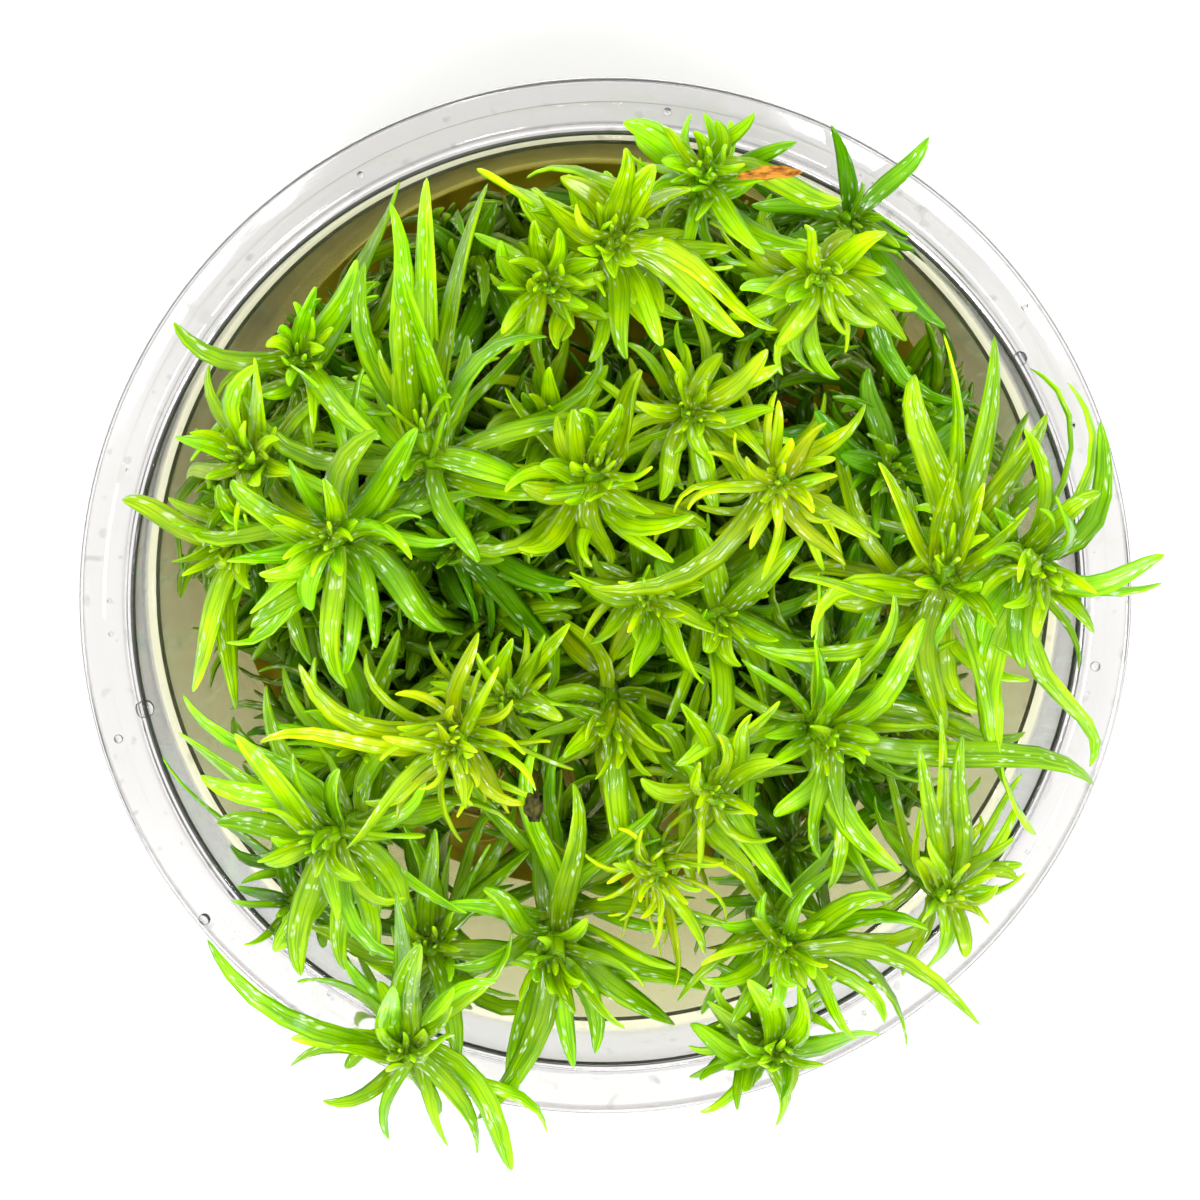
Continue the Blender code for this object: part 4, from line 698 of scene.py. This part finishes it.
for plant in plants:
    for whorl, foot in plant["feet"]:
        crowd.add(foot)
shifts = [(0.0, 0.0, 0.0)]
shifts += [(ring * math.cos(0.25 * math.pi * turn), ring * math.sin(0.25 * math.pi * turn), 0.0)
           for ring in range(1, 7) for turn in range(8)]
low_shoots = []
for name, place, length in LOW_SHOOTS:
    for shift in shifts:
        head = np.array(place) + shift
        trial = low_stem(head, LOW_RADIUS + GAP)
        if crowd.leaves_room(ring_tree(trial["rings"], trial["top"])):
            break
    shoot = low_stem(head, LOW_RADIUS)
    shoot.update(low=True, name="low_shoot_" + name, tone="deep", arch=0.3, swirl=0.0,
                 leaf=(length, LOW_WIDTH), tree=ring_tree(shoot["rings"], shoot["top"]))
    low_shoots.append(shoot)
    crowd.add(shoot["tree"])
draw = np.random.default_rng(11)
for shoot in low_shoots:
    shoot["others"] = walls + [other["tree"] for other in plants + low_shoots if other is not shoot]
    for socket in shoot["sockets"]:
        spread = math.radians(draw.uniform(35.0, 75.0))
        way = swung(socket["axis"], socket["radial"], spread)
        reach = shoot["leaf"][0] * draw.uniform(0.7, 1.0)
        grow_leaf(shoot, socket, socket["base"] + way * reach, LOW_WIDTH, 0.0, crowd)


# Blades
# A leaf is a soft narrow blade, blunt at the tip, with a shallow channel along the midrib and veins along it;
# its paler edge is painted rim light. The young ones in the middle of a tuft are short, upright and yellow,
# the old long and deep. Blades low in the cup are darkened with painted shade.
STATIONS = np.array([0.0, 0.08, 0.22, 0.38, 0.54, 0.70, 0.84, 0.93, 0.98])
AROUND = 6
FEW_STATIONS = np.array([0.0, 0.15, 0.4, 0.65, 0.86, 0.96])
# The darkest tone is painted shade: a darker copy of the leaf green for the low shoots, the side shoots and
# the plantlets that stand low in the cup.
LEAF_TONES = {"bright": (0.58, 0.93, 0.001), "mid": (0.46, 0.87, 0.001), "deep": (0.24, 0.63, 0.001),
              "yellow": (0.70, 0.95, 0.001)}


def blades(corners, axis, radial, width, look, stations, around):
    """Closed leaf blades, all worked out at once.

    Middle line: the cubic P(t). Frame: tangent T, side S square to it, normal N = T x S, the last two turned
    about T by twist * t. Half width: w(t) = width/2 * (0.72 + 0.28 sin(pi/2 min(t/0.4, 1))) * (1 - t^p)^0.6.
    Section at angle f: S w cos f + N (h(t) sin f + channel * w * cos^2 f).
    """
    count = len(width)
    centres, tangents = bezier(corners, stations)
    chord = corners[3] - corners[0]
    chord = chord / np.sqrt((chord ** 2).sum(axis=1))[:, None]
    across = np.cross(axis, chord + 0.25 * radial)[:, None, :]
    side = across - tangents * (across * tangents).sum(axis=-1)[..., None]
    side = side / np.sqrt((side ** 2).sum(axis=-1))[..., None]
    normal = np.cross(tangents, side)
    turn = look["twist"][:, None] * stations
    cos, sin = np.cos(turn)[..., None], np.sin(turn)[..., None]
    side, normal = side * cos + normal * sin, normal * cos - side * sin
    taper = (0.72 + 0.28 * np.sin(0.5 * math.pi * np.minimum(stations / 0.4, 1.0))) * (
        1.0 - stations[None, :] ** look["point"][:, None]) ** 0.6
    half = (width[:, None] / 2.0 * taper)[..., None]
    thick = (look["thick"][:, None] * (0.35 + 0.65 * taper))[..., None]
    angle = np.arange(around) * (2.0 * math.pi / around)
    level = (thick * np.sin(angle)[None, None, :]
             + look["channel"][:, None, None] * half * (np.cos(angle) ** 2)[None, None, :])
    points = (centres[:, :, None, :] + side[:, :, None, :] * (half * np.cos(angle))[..., None]
              + normal[:, :, None, :] * level[..., None])
    rings = len(stations) * around
    points = np.concatenate([points.reshape(count, rings, 3), centres[:, :1] - tangents[:, :1] * 0.1,
                             corners[3][:, None, :]], axis=1)
    shares = np.concatenate([np.repeat(stations, around), [0.0, 1.0]])
    sides = np.concatenate([np.tile(np.cos(angle), len(stations)), [0.0, 0.0]])
    lengths = np.sqrt(((corners[3] - corners[0]) ** 2).sum(axis=1))
    uv = np.stack([sides[None, :] * width[:, None] / 2.0, shares[None, :] * lengths[:, None]], axis=2)
    pale = np.clip(1.0 - shares / 0.07, 0.0, 1.0)[None, :, None] * 0.5
    # Darker towards the leaf's foot and paler at its edges; the paler edges are painted rim light.
    colour = look["colour"][:, None, :] * ((0.66 + 0.44 * shares) * (0.88 + 0.3 * sides ** 2))[None, :, None]
    colour = colour * (1.0 - pale) + np.array([0.55, 0.72, 0.06]) * pale
    # Painted shade: blades darken towards the bottom of the cup, to 0.64 of their colour at 32 mm and below.
    shade_by_height = np.clip((points[..., 2] - 32.0) / 36.0, 0.0, 1.0)[..., None]
    colour = colour * (0.64 + 0.36 * shade_by_height * shade_by_height * (3.0 - 2.0 * shade_by_height))
    return (points.reshape(-1, 3), *ring_faces(len(stations), around, count, inside_out=True),
            uv.reshape(-1, 2), colour.reshape(-1, 3))


def tube(corners, radii, sides=8, rings=14):
    """Closed tubes along cubic middle lines, with a radius that runs evenly from the first to the second."""
    shares = np.linspace(0.0, 1.0, rings)
    centres, tangents = bezier(corners, shares)
    across = np.cross(tangents, (0.31, 0.95, 0.07))
    across = across / np.sqrt((across ** 2).sum(axis=-1))[..., None]
    other = np.cross(tangents, across)
    radius = (radii[0] + (radii[1] - radii[0]) * shares)[None, :, None, None]
    angle = np.arange(sides) * (2.0 * math.pi / sides)
    around = np.cos(angle)[:, None] * across[:, :, None, :] + np.sin(angle)[:, None] * other[:, :, None, :]
    points = centres[:, :, None, :] + radius * around
    count = len(points)
    points = np.concatenate([points.reshape(count, -1, 3), centres[:, :1], centres[:, -1:]], axis=1)
    uv = np.concatenate([np.stack([np.tile(angle, rings), np.repeat(shares * 30.0, sides)], axis=1),
                         [[0.0, 0.0], [0.0, 30.0]]])
    return points.reshape(-1, 3), *ring_faces(rings, sides, count), np.tile(uv, (count, 1))


def joined(parts):
    """Several (points, quads, triangles, uv, colour) as one, with the point numbers moved on."""
    starts = np.cumsum([0] + [len(part[0]) for part in parts[:-1]])
    return (np.vstack([part[0] for part in parts]),
            np.vstack([part[1] + start for part, start in zip(parts, starts)]),
            np.vstack([part[2] + start for part, start in zip(parts, starts)]),
            np.vstack([part[3] for part in parts]), np.vstack([part[4] for part in parts]))


def add_leafy(name, points, quads, triangles, uv, colour, material, slot):
    """A leafy piece with its blade coordinates as a UV map and its colour as an attribute."""
    piece = add_piece(name, points, quads, triangles, material, slot)
    mesh = piece.data
    corner_points = np.empty(len(mesh.loops), dtype=np.int32)
    mesh.loops.foreach_get("vertex_index", corner_points)
    layer = mesh.uv_layers.new(name="blade")
    layer.data.foreach_set("uv", uv[corner_points].astype(np.float32).ravel())
    paint = mesh.color_attributes.new("leaf_colour", "FLOAT_COLOR", "POINT")
    full = np.column_stack([colour, np.ones(len(colour))])
    paint.data.foreach_set("color", full.astype(np.float32).ravel())
    return piece


def wet_leaf():
    """Wet leaf: the blade's own colour, striped by veins, mottled, with painted highlights: pale glint spots
    in patches.
    """
    look = Look("wet_leaf")
    blade = look.node("ShaderNodeUVMap", {"uv_map": "blade"}).outputs[0]
    own = look.node("ShaderNodeAttribute", {"attribute_name": "leaf_colour"}).outputs["Color"]
    veins = look.noise(1.0, 1.0, 0.55, look.stretched(blade, (3.6, 0.12, 1.0)), "2D")
    striped = look.mix(own, look.ramp(veins, [(0.34, (0.60, 0.70, 0.5)), (0.60, (1.12, 1.08, 1.0))]))
    patch = look.ramp(look.noise(420.0, 0.0), [(0.3, (0.80, 0.88, 0.8)), (0.7, (1.12, 1.06, 1.0))])
    mottled = look.mix(striped, patch)
    # Painted highlights: pale spots in rows along the blade, in patches, are mixed into the base colour as
    # glints of the wet leaf.
    glint_spots = look.node("ShaderNodeTexVoronoi", {"voronoi_dimensions": "2D"}, Scale=1.0,
                      Vector=look.stretched(blade, (2.2, 0.62, 1.0))).outputs["Distance"]
    glint_patches = look.noise(1.0, 0.0, 0.5, look.stretched(blade, (1.3, 0.35, 1.0)), "2D")
    painted_glints = look.maths("MULTIPLY", look.span(glint_spots, 0.12, 0.28, 1.0, 0.0), look.span(glint_patches, 0.53, 0.66))
    normal = look.bump(veins, 1.0, 0.00004)
    look.done(Base_Color=look.mix(mottled, (0.86, 0.97, 0.62, 1.0), painted_glints, "MIX"), Normal=normal,
              Roughness=0.24, Specular_IOR_Level=0.1, Coat_Weight=0.8, Coat_Roughness=0.05, Coat_IOR=1.45,
              Coat_Normal=normal)
    glow = look.node("ShaderNodeBsdfTranslucent", Color=look.mix(mottled, (1.25, 1.15, 0.6, 1.0)),
                     Normal=normal)
    both = look.node("ShaderNodeMixShader", i0=0.36, i1=look.shader.outputs[0], i2=glow.outputs[0])
    look.tree.links.new(both.outputs[0], look.tree.nodes["Material Output"].inputs["Surface"])
    return look.material


def looks(tone, draw, ages):
    """Random looks of some blades: colour around the plantlet's tone, twist, channel, thickness and point."""
    count = len(ages)
    warmth = draw.uniform(-0.12, 0.12, (count, 1))
    colour = np.array(LEAF_TONES[tone]) * draw.uniform(0.72, 1.2, (count, 1)) * np.hstack(
        [1.0 + 1.4 * warmth, 1.0 + 0.3 * warmth, np.ones((count, 1))])
    colour = colour * ages[:, None] + np.array(LEAF_TONES["yellow"]) * (1.0 - ages[:, None])
    return {"colour": colour, "twist": draw.normal(0.0, 0.9, count), "channel": draw.uniform(0.1, 0.5, count),
            "thick": draw.uniform(0.2, 0.32, count), "point": draw.uniform(2.4, 5.0, count)}


# Leaves beyond those of the solids: the bud's small ones, and whorls down the stem, each with its distance
# below the head, its leaves' spread from the stem in degrees, and their share of the plantlet's leaf length.
BUD_LEAVES = 6
CROWN_WHORLS = ((1.0, 26.0, 0.42), (3.2, 50.0, 0.66), (6.4, 72.0, 0.9), (9.4, 84.0, 1.0),
                (13.0, 92.0, 0.95), (18.0, 88.0, 0.8), (24.0, 80.0, 0.65))
WHORL_LEAVES = 5
WHORL_FULLNESS = 0.85
# The bends tried for such a leaf: turn and lift in degrees, and share of the length.
EXTRA_BENDS = ((0, 0, 1.0), (14, 4, 1.0), (-14, -4, 1.0), (0, 14, 0.9), (0, -14, 0.9), (22, 8, 0.7),
               (-22, 8, 0.7))


def read_in_rim(place):
    """Where a place is seen to be, in the plane of the rim."""
    return EYE + (place - EYE) * (RIM_HEIGHT - EYE[2]) / (place[2] - EYE[2])


def extra_leaf(plant, place, axis, radial, spread, length, width, curl, age):
    """A list of one more leaf from a place on the stem, on the first bend where it is clear, or of none."""
    socket = {"base": place, "radial": radial, "axis": axis}
    way = unit(swung(axis, radial, spread) + plant["sweep"])
    for turn, lift, shorter in EXTRA_BENDS:
        bent = turned_about(way, axis, math.radians(turn))
        level = unit(np.cross(axis, bent + 1e-6))
        bent = turned_about(bent, level, math.radians(-lift)) * length * shorter
        corners = leaf_curve(socket, place + bent, plant["arch"] + curl[0], plant["swirl"] + curl[1])
        shape = test_shape(socket, corners, 0.55 * width, -0.12)
        if math.hypot(*read_in_rim(corners[3])[:2]) < plant["reach"] and crowd.leaves_room(shape):
            crowd.add(shape)
            return [(corners, width, axis, radial, age)]
    return []


def stem_frame(plant, below):
    """Centre, axis and two square directions of a stem at a distance below its head."""
    a, b, c, d = plant["corners"]
    length = math.sqrt(float((d - a) @ (d - a)))
    centres, axes = bezier(plant["corners"], [max(0.02, 1.0 - below / length)])
    across = unit(plant["across"] - axes[0] * (plant["across"] @ axes[0]))
    return centres[0], axes[0], across, np.cross(axes[0], across)


def leafage(leaves, tone, draw, stations, around, lively=0.11):
    """Blades for a list of leaves, each middle line given a small wave of its own.

    Its two inner corners move sideways and along the stem by a random share of the leaf's length.
    """
    corners = [np.array([leaf[0][k] for leaf in leaves]) for k in range(4)]
    widths, axes, radials, ages = (np.array([leaf[k] for leaf in leaves]) for k in (1, 2, 3, 4))
    reach = np.sqrt(((corners[3] - corners[0]) ** 2).sum(axis=1))[:, None]
    aside = np.cross(axes, (corners[3] - corners[0]) / reach)
    for inner in (1, 2):
        shifts = draw.normal(0.0, lively, (len(leaves), 2))
        corners[inner] = corners[inner] + reach * (shifts[:, :1] * aside + 0.6 * shifts[:, 1:] * axes)
    return blades(tuple(corners), axes, radials, widths, looks(tone, draw, ages), stations, around)


draw = np.random.default_rng(21)
for plant in plants + low_shoots:
    length, width = plant["leaf"]
    slim = 0.7 if plant["tone"] == "yellow" else 0.92
    plant["reach"] = max(41.5, math.hypot(*read_in_rim(plant["head"])[:2]) + 5.0)
    plant["sweep"] = draw.normal(0.0, 0.25, 3)
    plant["leaves"] = [(socket["leaf"][0], socket["leaf"][1] * slim, socket["axis"], socket["radial"], 1.0)
                       for socket in plant["sockets"] if socket["leaf"] is not None]
    for below, spread, share in CROWN_WHORLS[:5 if plant["low"] else None]:
        centre, axis, across, other = stem_frame(plant, below)
        start = draw.uniform(0.0, 2.0 * math.pi)
        for index in np.flatnonzero(draw.uniform(0.0, 1.0, WHORL_LEAVES) < WHORL_FULLNESS):
            angle = start + 2.0 * math.pi * index / WHORL_LEAVES + draw.uniform(-0.4, 0.4)
            radial = swung(across, other, angle)
            plant["leaves"] += extra_leaf(plant, centre + radial * plant["radius"] * 0.9, axis, radial,
                                          math.radians(spread + draw.uniform(-22.0, 22.0)),
                                          length * share * draw.uniform(0.6, 1.25),
                                          width * slim * draw.uniform(0.45, 0.85),
                                          draw.normal((0.15, 0.0), (0.35, 0.8)), min(1.0, 0.6 + below * 0.07))
    bud = plant["head"] + plant["axis"] * 0.5
    for index in range(BUD_LEAVES):
        angle = 2.4 * index + draw.uniform(-0.4, 0.4)
        radial = swung(plant["across"], np.cross(plant["axis"], plant["across"]), angle)
        spread = math.radians(6.0 + 5.0 * index + draw.uniform(-6.0, 6.0))
        reach = (2.8 + 1.0 * index) * draw.uniform(0.7, 1.3)
        socket = {"base": bud + radial * 0.35, "radial": radial, "axis": plant["axis"]}
        way = swung(plant["axis"], radial, spread)
        corners = leaf_curve(socket, socket["base"] + way * reach, draw.uniform(-0.6, 0.3),
                             plant["swirl"] + draw.normal(0.0, 0.5))
        plant["leaves"].append((corners, 0.6 + 0.1 * index, plant["axis"], radial, 0.45 + 0.06 * index))

# Side shoots: thin stems that start at the foot of their plantlet and stay in its shade, with small leaves.
# Their leaves and stems are coloured a darker green that is painted shade.
# None stands in the open places, where the gel and its roots show.
OPEN_PLACES = ((-11.0, -24.5, 6.5), (7.5, -27.5, 3.5), (1.5, 24.5, 5.0), (20.0, 23.5, 4.0), (31.5, -1.0, 4.0),
               (-36.0, -2.0, 5.0), (-14.0, 27.0, 2.5))
SIDE_WHORLS = ((0.8, 18.0, 0.6), (2.6, 42.0, 0.9), (5.2, 66.0, 1.0), (8.6, 82.0, 1.0), (12.5, 90.0, 0.85))
for plant in plants + low_shoots:
    plant["side_stems"], plant["side_leaves"] = [], []
    for index in range(4 if plant["low"] else 2):
        height = draw.uniform(32.0, 50.0) if plant["low"] else draw.uniform(38.0, 60.0)
        centre = stem_frame(plant, plant["head"][2] - height)[0]
        angle = draw.uniform(0.0, 2.0 * math.pi)
        head = centre + draw.uniform(4.5, 8.5) * np.array([math.cos(angle), math.sin(angle), 0.0])
        head[2] = height
        spot = read_in_rim(head)
        if math.hypot(head[0], head[1]) > inner_radius(height) - 3.5 or any(
                math.hypot(spot[0] - x, spot[1] - y) < room + 2.0 for x, y, room in OPEN_PLACES):
            continue
        foot = plant["corners"][0] + 0.35 * (head - plant["corners"][0]) * (1.0, 1.0, 0.0)
        shoot = grow_stem(head, foot, draw.normal(0.0, 0.3, 2), 1, 0.6)
        shoot.update(arch=0.25, swirl=0.0, reach=41.0, sweep=draw.normal(0.0, 0.25, 3))
        plant["side_stems"].append(shoot["corners"])
        for below, spread, share in SIDE_WHORLS:
            centre, axis, across, other = stem_frame(shoot, below)
            start = draw.uniform(0.0, 2.0 * math.pi)
            for leaf in range(6):
                angle = start + 2.0 * math.pi * leaf / 6 + draw.uniform(-0.3, 0.3)
                radial = swung(across, other, angle)
                plant["side_leaves"] += extra_leaf(shoot, centre + radial * 0.5, axis, radial,
                                                   math.radians(spread + draw.uniform(-16.0, 16.0)),
                                                   draw.uniform(8.0, 15.0) * share, draw.uniform(1.0, 2.0),
                                                   draw.normal((0.15, 0.0), (0.35, 0.9)),
                                                   draw.uniform(0.55, 1.0))

# One piece for each plantlet and low shoot, in place of its solid.
leaf_material = wet_leaf()
for plant in plants + low_shoots:
    parts = [leafage(plant["leaves"], plant["tone"], draw, STATIONS, AROUND, 0.16)]
    if plant["side_leaves"]:
        # Side leaves and side stems take the darkest tone, painted shade.
        parts.append(leafage(plant["side_leaves"], "deep", draw, FEW_STATIONS, 4))
        corners = tuple(np.array([stem[k] for stem in plant["side_stems"]]) for k in range(4))
        stems = tube(corners, (0.7, 0.55), 5, 8)
        parts.append((*stems, np.tile(LEAF_TONES["deep"], (len(stems[0]), 1))))
    stem = tube(tuple(np.asarray(corner)[None] for corner in plant["corners"]),
                (plant["radius"], plant["radius"] * 0.85))
    parts.append((*stem, np.tile(np.array(LEAF_TONES["mid"]) * 0.8, (len(stem[0]), 1))))
    tuft = add_leafy(plant["name"].replace("plantlet", "tuft").replace("shoot", "tuft"), *joined(parts),
                     leaf_material, "leaf_" + plant["tone"])
    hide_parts(plant["name"])


# Roots
# Fine roots, pale straw to brown and about a fifth of a millimetre thick, have grown from the feet of the
# shoots. They wander over the gel and lie just under its surface.
def root_skin():
    """Pale straw-coloured root, brownish in stretches, wet."""
    look = Look("root_skin")
    colour = look.ramp(look.noise(160.0, 3.0), [(0.35, (0.42, 0.30, 0.03)), (0.6, (0.80, 0.74, 0.20))])
    return look.done(Base_Color=colour, Normal=look.bump(look.noise(3000.0), 0.4, 0.0001), Roughness=0.35)


def scattered(draw, count, radius, low, high):
    """Random places spread evenly over a disc about the cup's middle, between two heights."""
    angle = draw.uniform(0.0, 2.0 * math.pi, count)
    away = radius * np.sqrt(draw.uniform(0.0, 1.0, count))
    return np.stack([away * np.cos(angle), away * np.sin(angle), draw.uniform(low, high, count)], axis=1)


ROOTS = 90
draw = np.random.default_rng(5)
start = scattered(draw, ROOTS, 34.0, GEL_HEIGHT - 0.2, GEL_HEIGHT + 0.5)
way = draw.uniform(0.0, 2.0 * math.pi, ROOTS)
reach = draw.uniform(7.0, 18.0, ROOTS)
end = start + np.stack([reach * np.cos(way), reach * np.sin(way), draw.uniform(-0.6, 1.2, ROOTS)], axis=1)
end[:, :2] *= np.minimum(1.0, 35.5 / np.hypot(end[:, 0], end[:, 1]))[:, None]
middle = (start + end) / 2.0
sway = draw.normal(0.0, (3.5, 3.5, 0.9), (ROOTS, 3))
roots = tube((start, middle + sway, middle - sway * (0.6, 0.6, -1.0), end), (0.22, 0.1), 5, 12)
roots[0][:, 2] = np.maximum(roots[0][:, 2], GEL_HEIGHT - 1.2)
add_leafy("fine_roots", *roots, np.ones((len(roots[0]), 3)), root_skin(), "agar_gel")


# Bubbles
# Small air bubbles were caught when the gel set. They stand under its clear skin, and a larger one among them
# shows in the southern opening.
def ball_ways(rings, sides):
    """Directions to a ball's points: rings of (sin p cos a, sin p sin a, cos p) downwards, then its poles."""
    polar = np.linspace(0.0, math.pi, rings + 2)[1:-1, None]
    round_ = np.arange(sides)[None, :] * (2.0 * math.pi / sides)
    ways = np.stack([np.sin(polar) * np.cos(round_), np.sin(polar) * np.sin(round_),
                     np.cos(polar) * np.ones_like(round_)], axis=2).reshape(-1, 3)
    return np.vstack([ways, (0.0, 0.0, 1.0), (0.0, 0.0, -1.0)])


def balls(middles, radii, flatness=1.0):
    """Closed balls, all worked out at once: middle + radius * direction, flattened in height."""
    points = middles[:, None, :] + ball_ways(6, 12) * (1.0, 1.0, flatness) * radii[:, None, None]
    return points.reshape(-1, 3), *ring_faces(6, 12, len(radii), inside_out=True)


def bubble_film():
    """The gel's thin skin over a bubble: clear, pale amber, faintly uneven."""
    look = Look("bubble_film")
    colour = look.ramp(look.noise(900.0), [(0.3, (0.92, 0.86, 0.55)), (0.7, (0.98, 0.96, 0.85))])
    return look.done(Base_Color=colour, Roughness=0.04, IOR=1.34, Transmission_Weight=0.7)


BUBBLES = 46
draw = np.random.default_rng(8)
middles = scattered(draw, BUBBLES, 35.0, 15.7, 16.3)
radii = draw.uniform(0.25, 0.8, BUBBLES)
middles[0], radii[0] = seen(-8.3, -23.4, 16.3), 1.3
add_piece("gel_bubbles", *balls(middles, radii), bubble_film(), "agar_gel")


# Drops
# A few small drops of clean water lie on the flange and the lip, flattened as they wet the plastic, with
# specks of spray between them.
def drop_water():
    """Clear water with a trace of haze."""
    look = Look("drop_water")
    colour = look.ramp(look.noise(1200.0, 1.0), [(0.3, (0.93, 0.94, 0.94)), (0.7, (1.0, 1.0, 1.0))])
    return look.done(Base_Color=colour, Roughness=0.03, IOR=1.33, Transmission_Weight=1.0)


# Each large drop: x, y and radius. The spray lies between the lip and the flange's edge.
LARGE_DROPS = ((-43.9, -9.6, 0.9), (38.9, 23.6, 0.7), (-38.6, -30.2, 0.6), (39.3, 28.5, 0.4),
               (46.6, -6.0, 0.5), (-46.5, -12.5, 0.45), (5.6, 46.8, 0.4), (-23.0, 41.0, 0.35))
SPRAY = 26
angle = draw.uniform(0.0, 2.0 * math.pi, SPRAY)
away = draw.uniform(46.2, 47.4, SPRAY)
spray = np.stack([away * np.cos(angle), away * np.sin(angle), draw.uniform(0.1, 0.25, SPRAY)], axis=1)
spray = np.vstack([spray, LARGE_DROPS])
middles = np.column_stack([spray[:, :2], np.full(len(spray), RIM_HEIGHT - 0.12)])
add_piece("flange_drops", *balls(middles, spray[:, 2], 0.45), drop_water(), "clear_plastic")


# Withered leaf
# One old leaf has come loose and dried to orange brown. It is thin and wrinkled, its edges have curled up,
# and it lies on top of the northern tuft.
def dried(name, dark, light, scale):
    """Dried or rotted leaf: two browns in streaks and blotches, a wrinkled surface and a dull sheen."""
    look = Look(name)
    streaks = look.noise(1.0, 4.0, 0.6, look.stretched(look.where, scale))
    return look.done(Base_Color=look.ramp(streaks, [(0.36, dark), (0.66, light)]),
                     Normal=look.bump(look.noise(1500.0, 3.0), 0.7, 0.0002),
                     Roughness=0.55, Specular_IOR_Level=0.15)


def curled_blade(start, end, width, hump, twist, stations=24, around=12):
    """A shrivelled blade: a lens-shaped section w(t) = w sin(pi t)^0.55 that rocks about its middle line.

    The middle line is straight plus a hump of height * sin(pi t) and a slow side sway; the section turns by
    twist * sin(2 pi t), and its two edges curl upwards by a third of the width.
    """
    t = np.linspace(0.004, 0.996, stations)[:, None]
    along = end - start
    side = unit(np.array([-along[1], along[0], 0.0]))
    up = np.array([0.0, 0.0, 1.0])
    middle = start + along * t + up * hump * np.sin(math.pi * t) + side * 0.35 * np.sin(4.0 * t + 0.6)
    half = width / 2.0 * np.sin(math.pi * t) ** 0.55 * (1.0 + 0.12 * np.sin(19.0 * t))
    turn = twist * np.sin(2.0 * math.pi * t)
    angle = np.arange(around) * (2.0 * math.pi / around)
    x = np.cos(angle)[None, :] * half
    y = 0.13 * np.sin(angle)[None, :] * (0.4 + half) + 0.34 * x ** 2 / (half + 0.05)
    points = (middle[:, None, :] + (x * np.cos(turn) - y * np.sin(turn))[..., None] * side
              + (x * np.sin(turn) + y * np.cos(turn))[..., None] * up).reshape(-1, 3)
    return np.vstack([points, start, end]), *ring_faces(stations, around, inside_out=True)


start, end = np.array([10.8, 42.3, 84.35]), np.array([16.5, 43.4, 84.4])
withered = add_piece("curled_withered_leaf", *curled_blade(start, end, 1.3, 0.25, 0.5),
                     dried("dried_leaf", (0.16, 0.045, 0.003), (0.72, 0.30, 0.03), (900.0, 2600.0, 1500.0)),
                     "withered_leaf")
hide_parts("withered_leaf")


# Scrap
# A scrap of leaf has rotted to a small dark crumpled lump. It hangs caught between the leaves of the southern
# tufts.
def lump(middle, radii, draw, waves=9, rings=24, sides=36):
    """A crumpled ball: middle + radii * direction * (1 + sum of small waves over random directions)."""
    ways = ball_ways(rings, sides)
    crests = draw.normal(0.0, 1.0, (waves, 3)) * np.linspace(2.0, 7.0, waves)[:, None]
    swell = 1.0 + 0.07 * np.sin(ways @ crests.T + draw.uniform(0.0, 6.0, waves)).sum(axis=1)
    return middle + radii * ways * swell[:, None], *ring_faces(rings, sides, inside_out=True)


draw = np.random.default_rng(3)
scrap = add_piece("rotted_scrap", *lump(np.array([-7.25, -14.3, 84.0]), np.array([0.85, 1.25, 0.62]), draw),
                  dried("rotted_leaf", (0.010, 0.008, 0.003), (0.09, 0.085, 0.012), (1400.0, 1400.0, 1400.0)),
                  "dead_scrap")
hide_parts("dead_scrap")


# Table and light
# A plain matt white laminate table under a bright, even white tent. A few small lamps above it give the wet
# leaves their shine.
def white_table():
    """Matt white laminate, very faintly mottled."""
    look = Look("white_table")
    colour = look.ramp(look.noise(6.0, 3.0), [(0.3, (0.93, 0.93, 0.93)), (0.7, (0.95, 0.95, 0.95))])
    return look.done(Base_Color=colour, Roughness=0.7, Specular_IOR_Level=0.2)


TABLE_HALF = 4.0
table_mesh = bpy.data.meshes.new("table")
corners = [(x * TABLE_HALF, y * TABLE_HALF, 0.0) for x, y in ((-1, -1), (1, -1), (1, 1), (-1, 1))]
table_mesh.from_pydata(corners, [], [(0, 1, 2, 3)])
table_mesh.materials.append(white_table())
table = bpy.data.objects.new("table", table_mesh)
table.location.z = -0.0002
scene.collection.objects.link(table)

world = bpy.data.worlds.new("tent")
world.use_nodes = True
world.node_tree.nodes["Background"].inputs["Color"].default_value = (1.0, 1.0, 1.0, 1.0)
world.node_tree.nodes["Background"].inputs["Strength"].default_value = 1.0
scene.world = world

# The lamps: their number, power in watts, and in metres their size, their height and how far from the middle
# they hang.
LAMPS = 8
LAMP_POWER = 0.85
LAMP_SIZE = 0.10
LAMP_HEIGHT = 0.75
LAMP_SPREADS = (0.12, 0.34, 0.56, 0.80)


def add_lamp(name, place):
    """A round lamp that looks at the middle of the plants and isn't seen itself."""
    lamp_data = bpy.data.lights.new(name, "AREA")
    lamp_data.shape = "DISK"
    lamp_data.size = LAMP_SIZE
    lamp_data.energy = LAMP_POWER
    lamp = bpy.data.objects.new(name, lamp_data)
    away = unit(place - (0.0, 0.0, 0.07))
    level = unit(np.cross((0.0, 0.0, 1.0), away))
    rise = np.cross(away, level)
    lamp.matrix_world = Matrix([(level[i], rise[i], away[i], place[i]) for i in range(3)] + [(0, 0, 0, 1)])
    lamp.visible_camera = False
    scene.collection.objects.link(lamp)


for index in range(LAMPS):
    angle = 2.4 * index
    spread = LAMP_SPREADS[index % len(LAMP_SPREADS)]
    add_lamp(f"lamp_{index}", np.array([spread * math.cos(angle), spread * math.sin(angle), LAMP_HEIGHT]))

scene.view_settings.view_transform = "Standard"
# Light that has passed through this many leaves adds nothing that shows.
scene.cycles.max_bounces = 5
scene.cycles.diffuse_bounces = 2
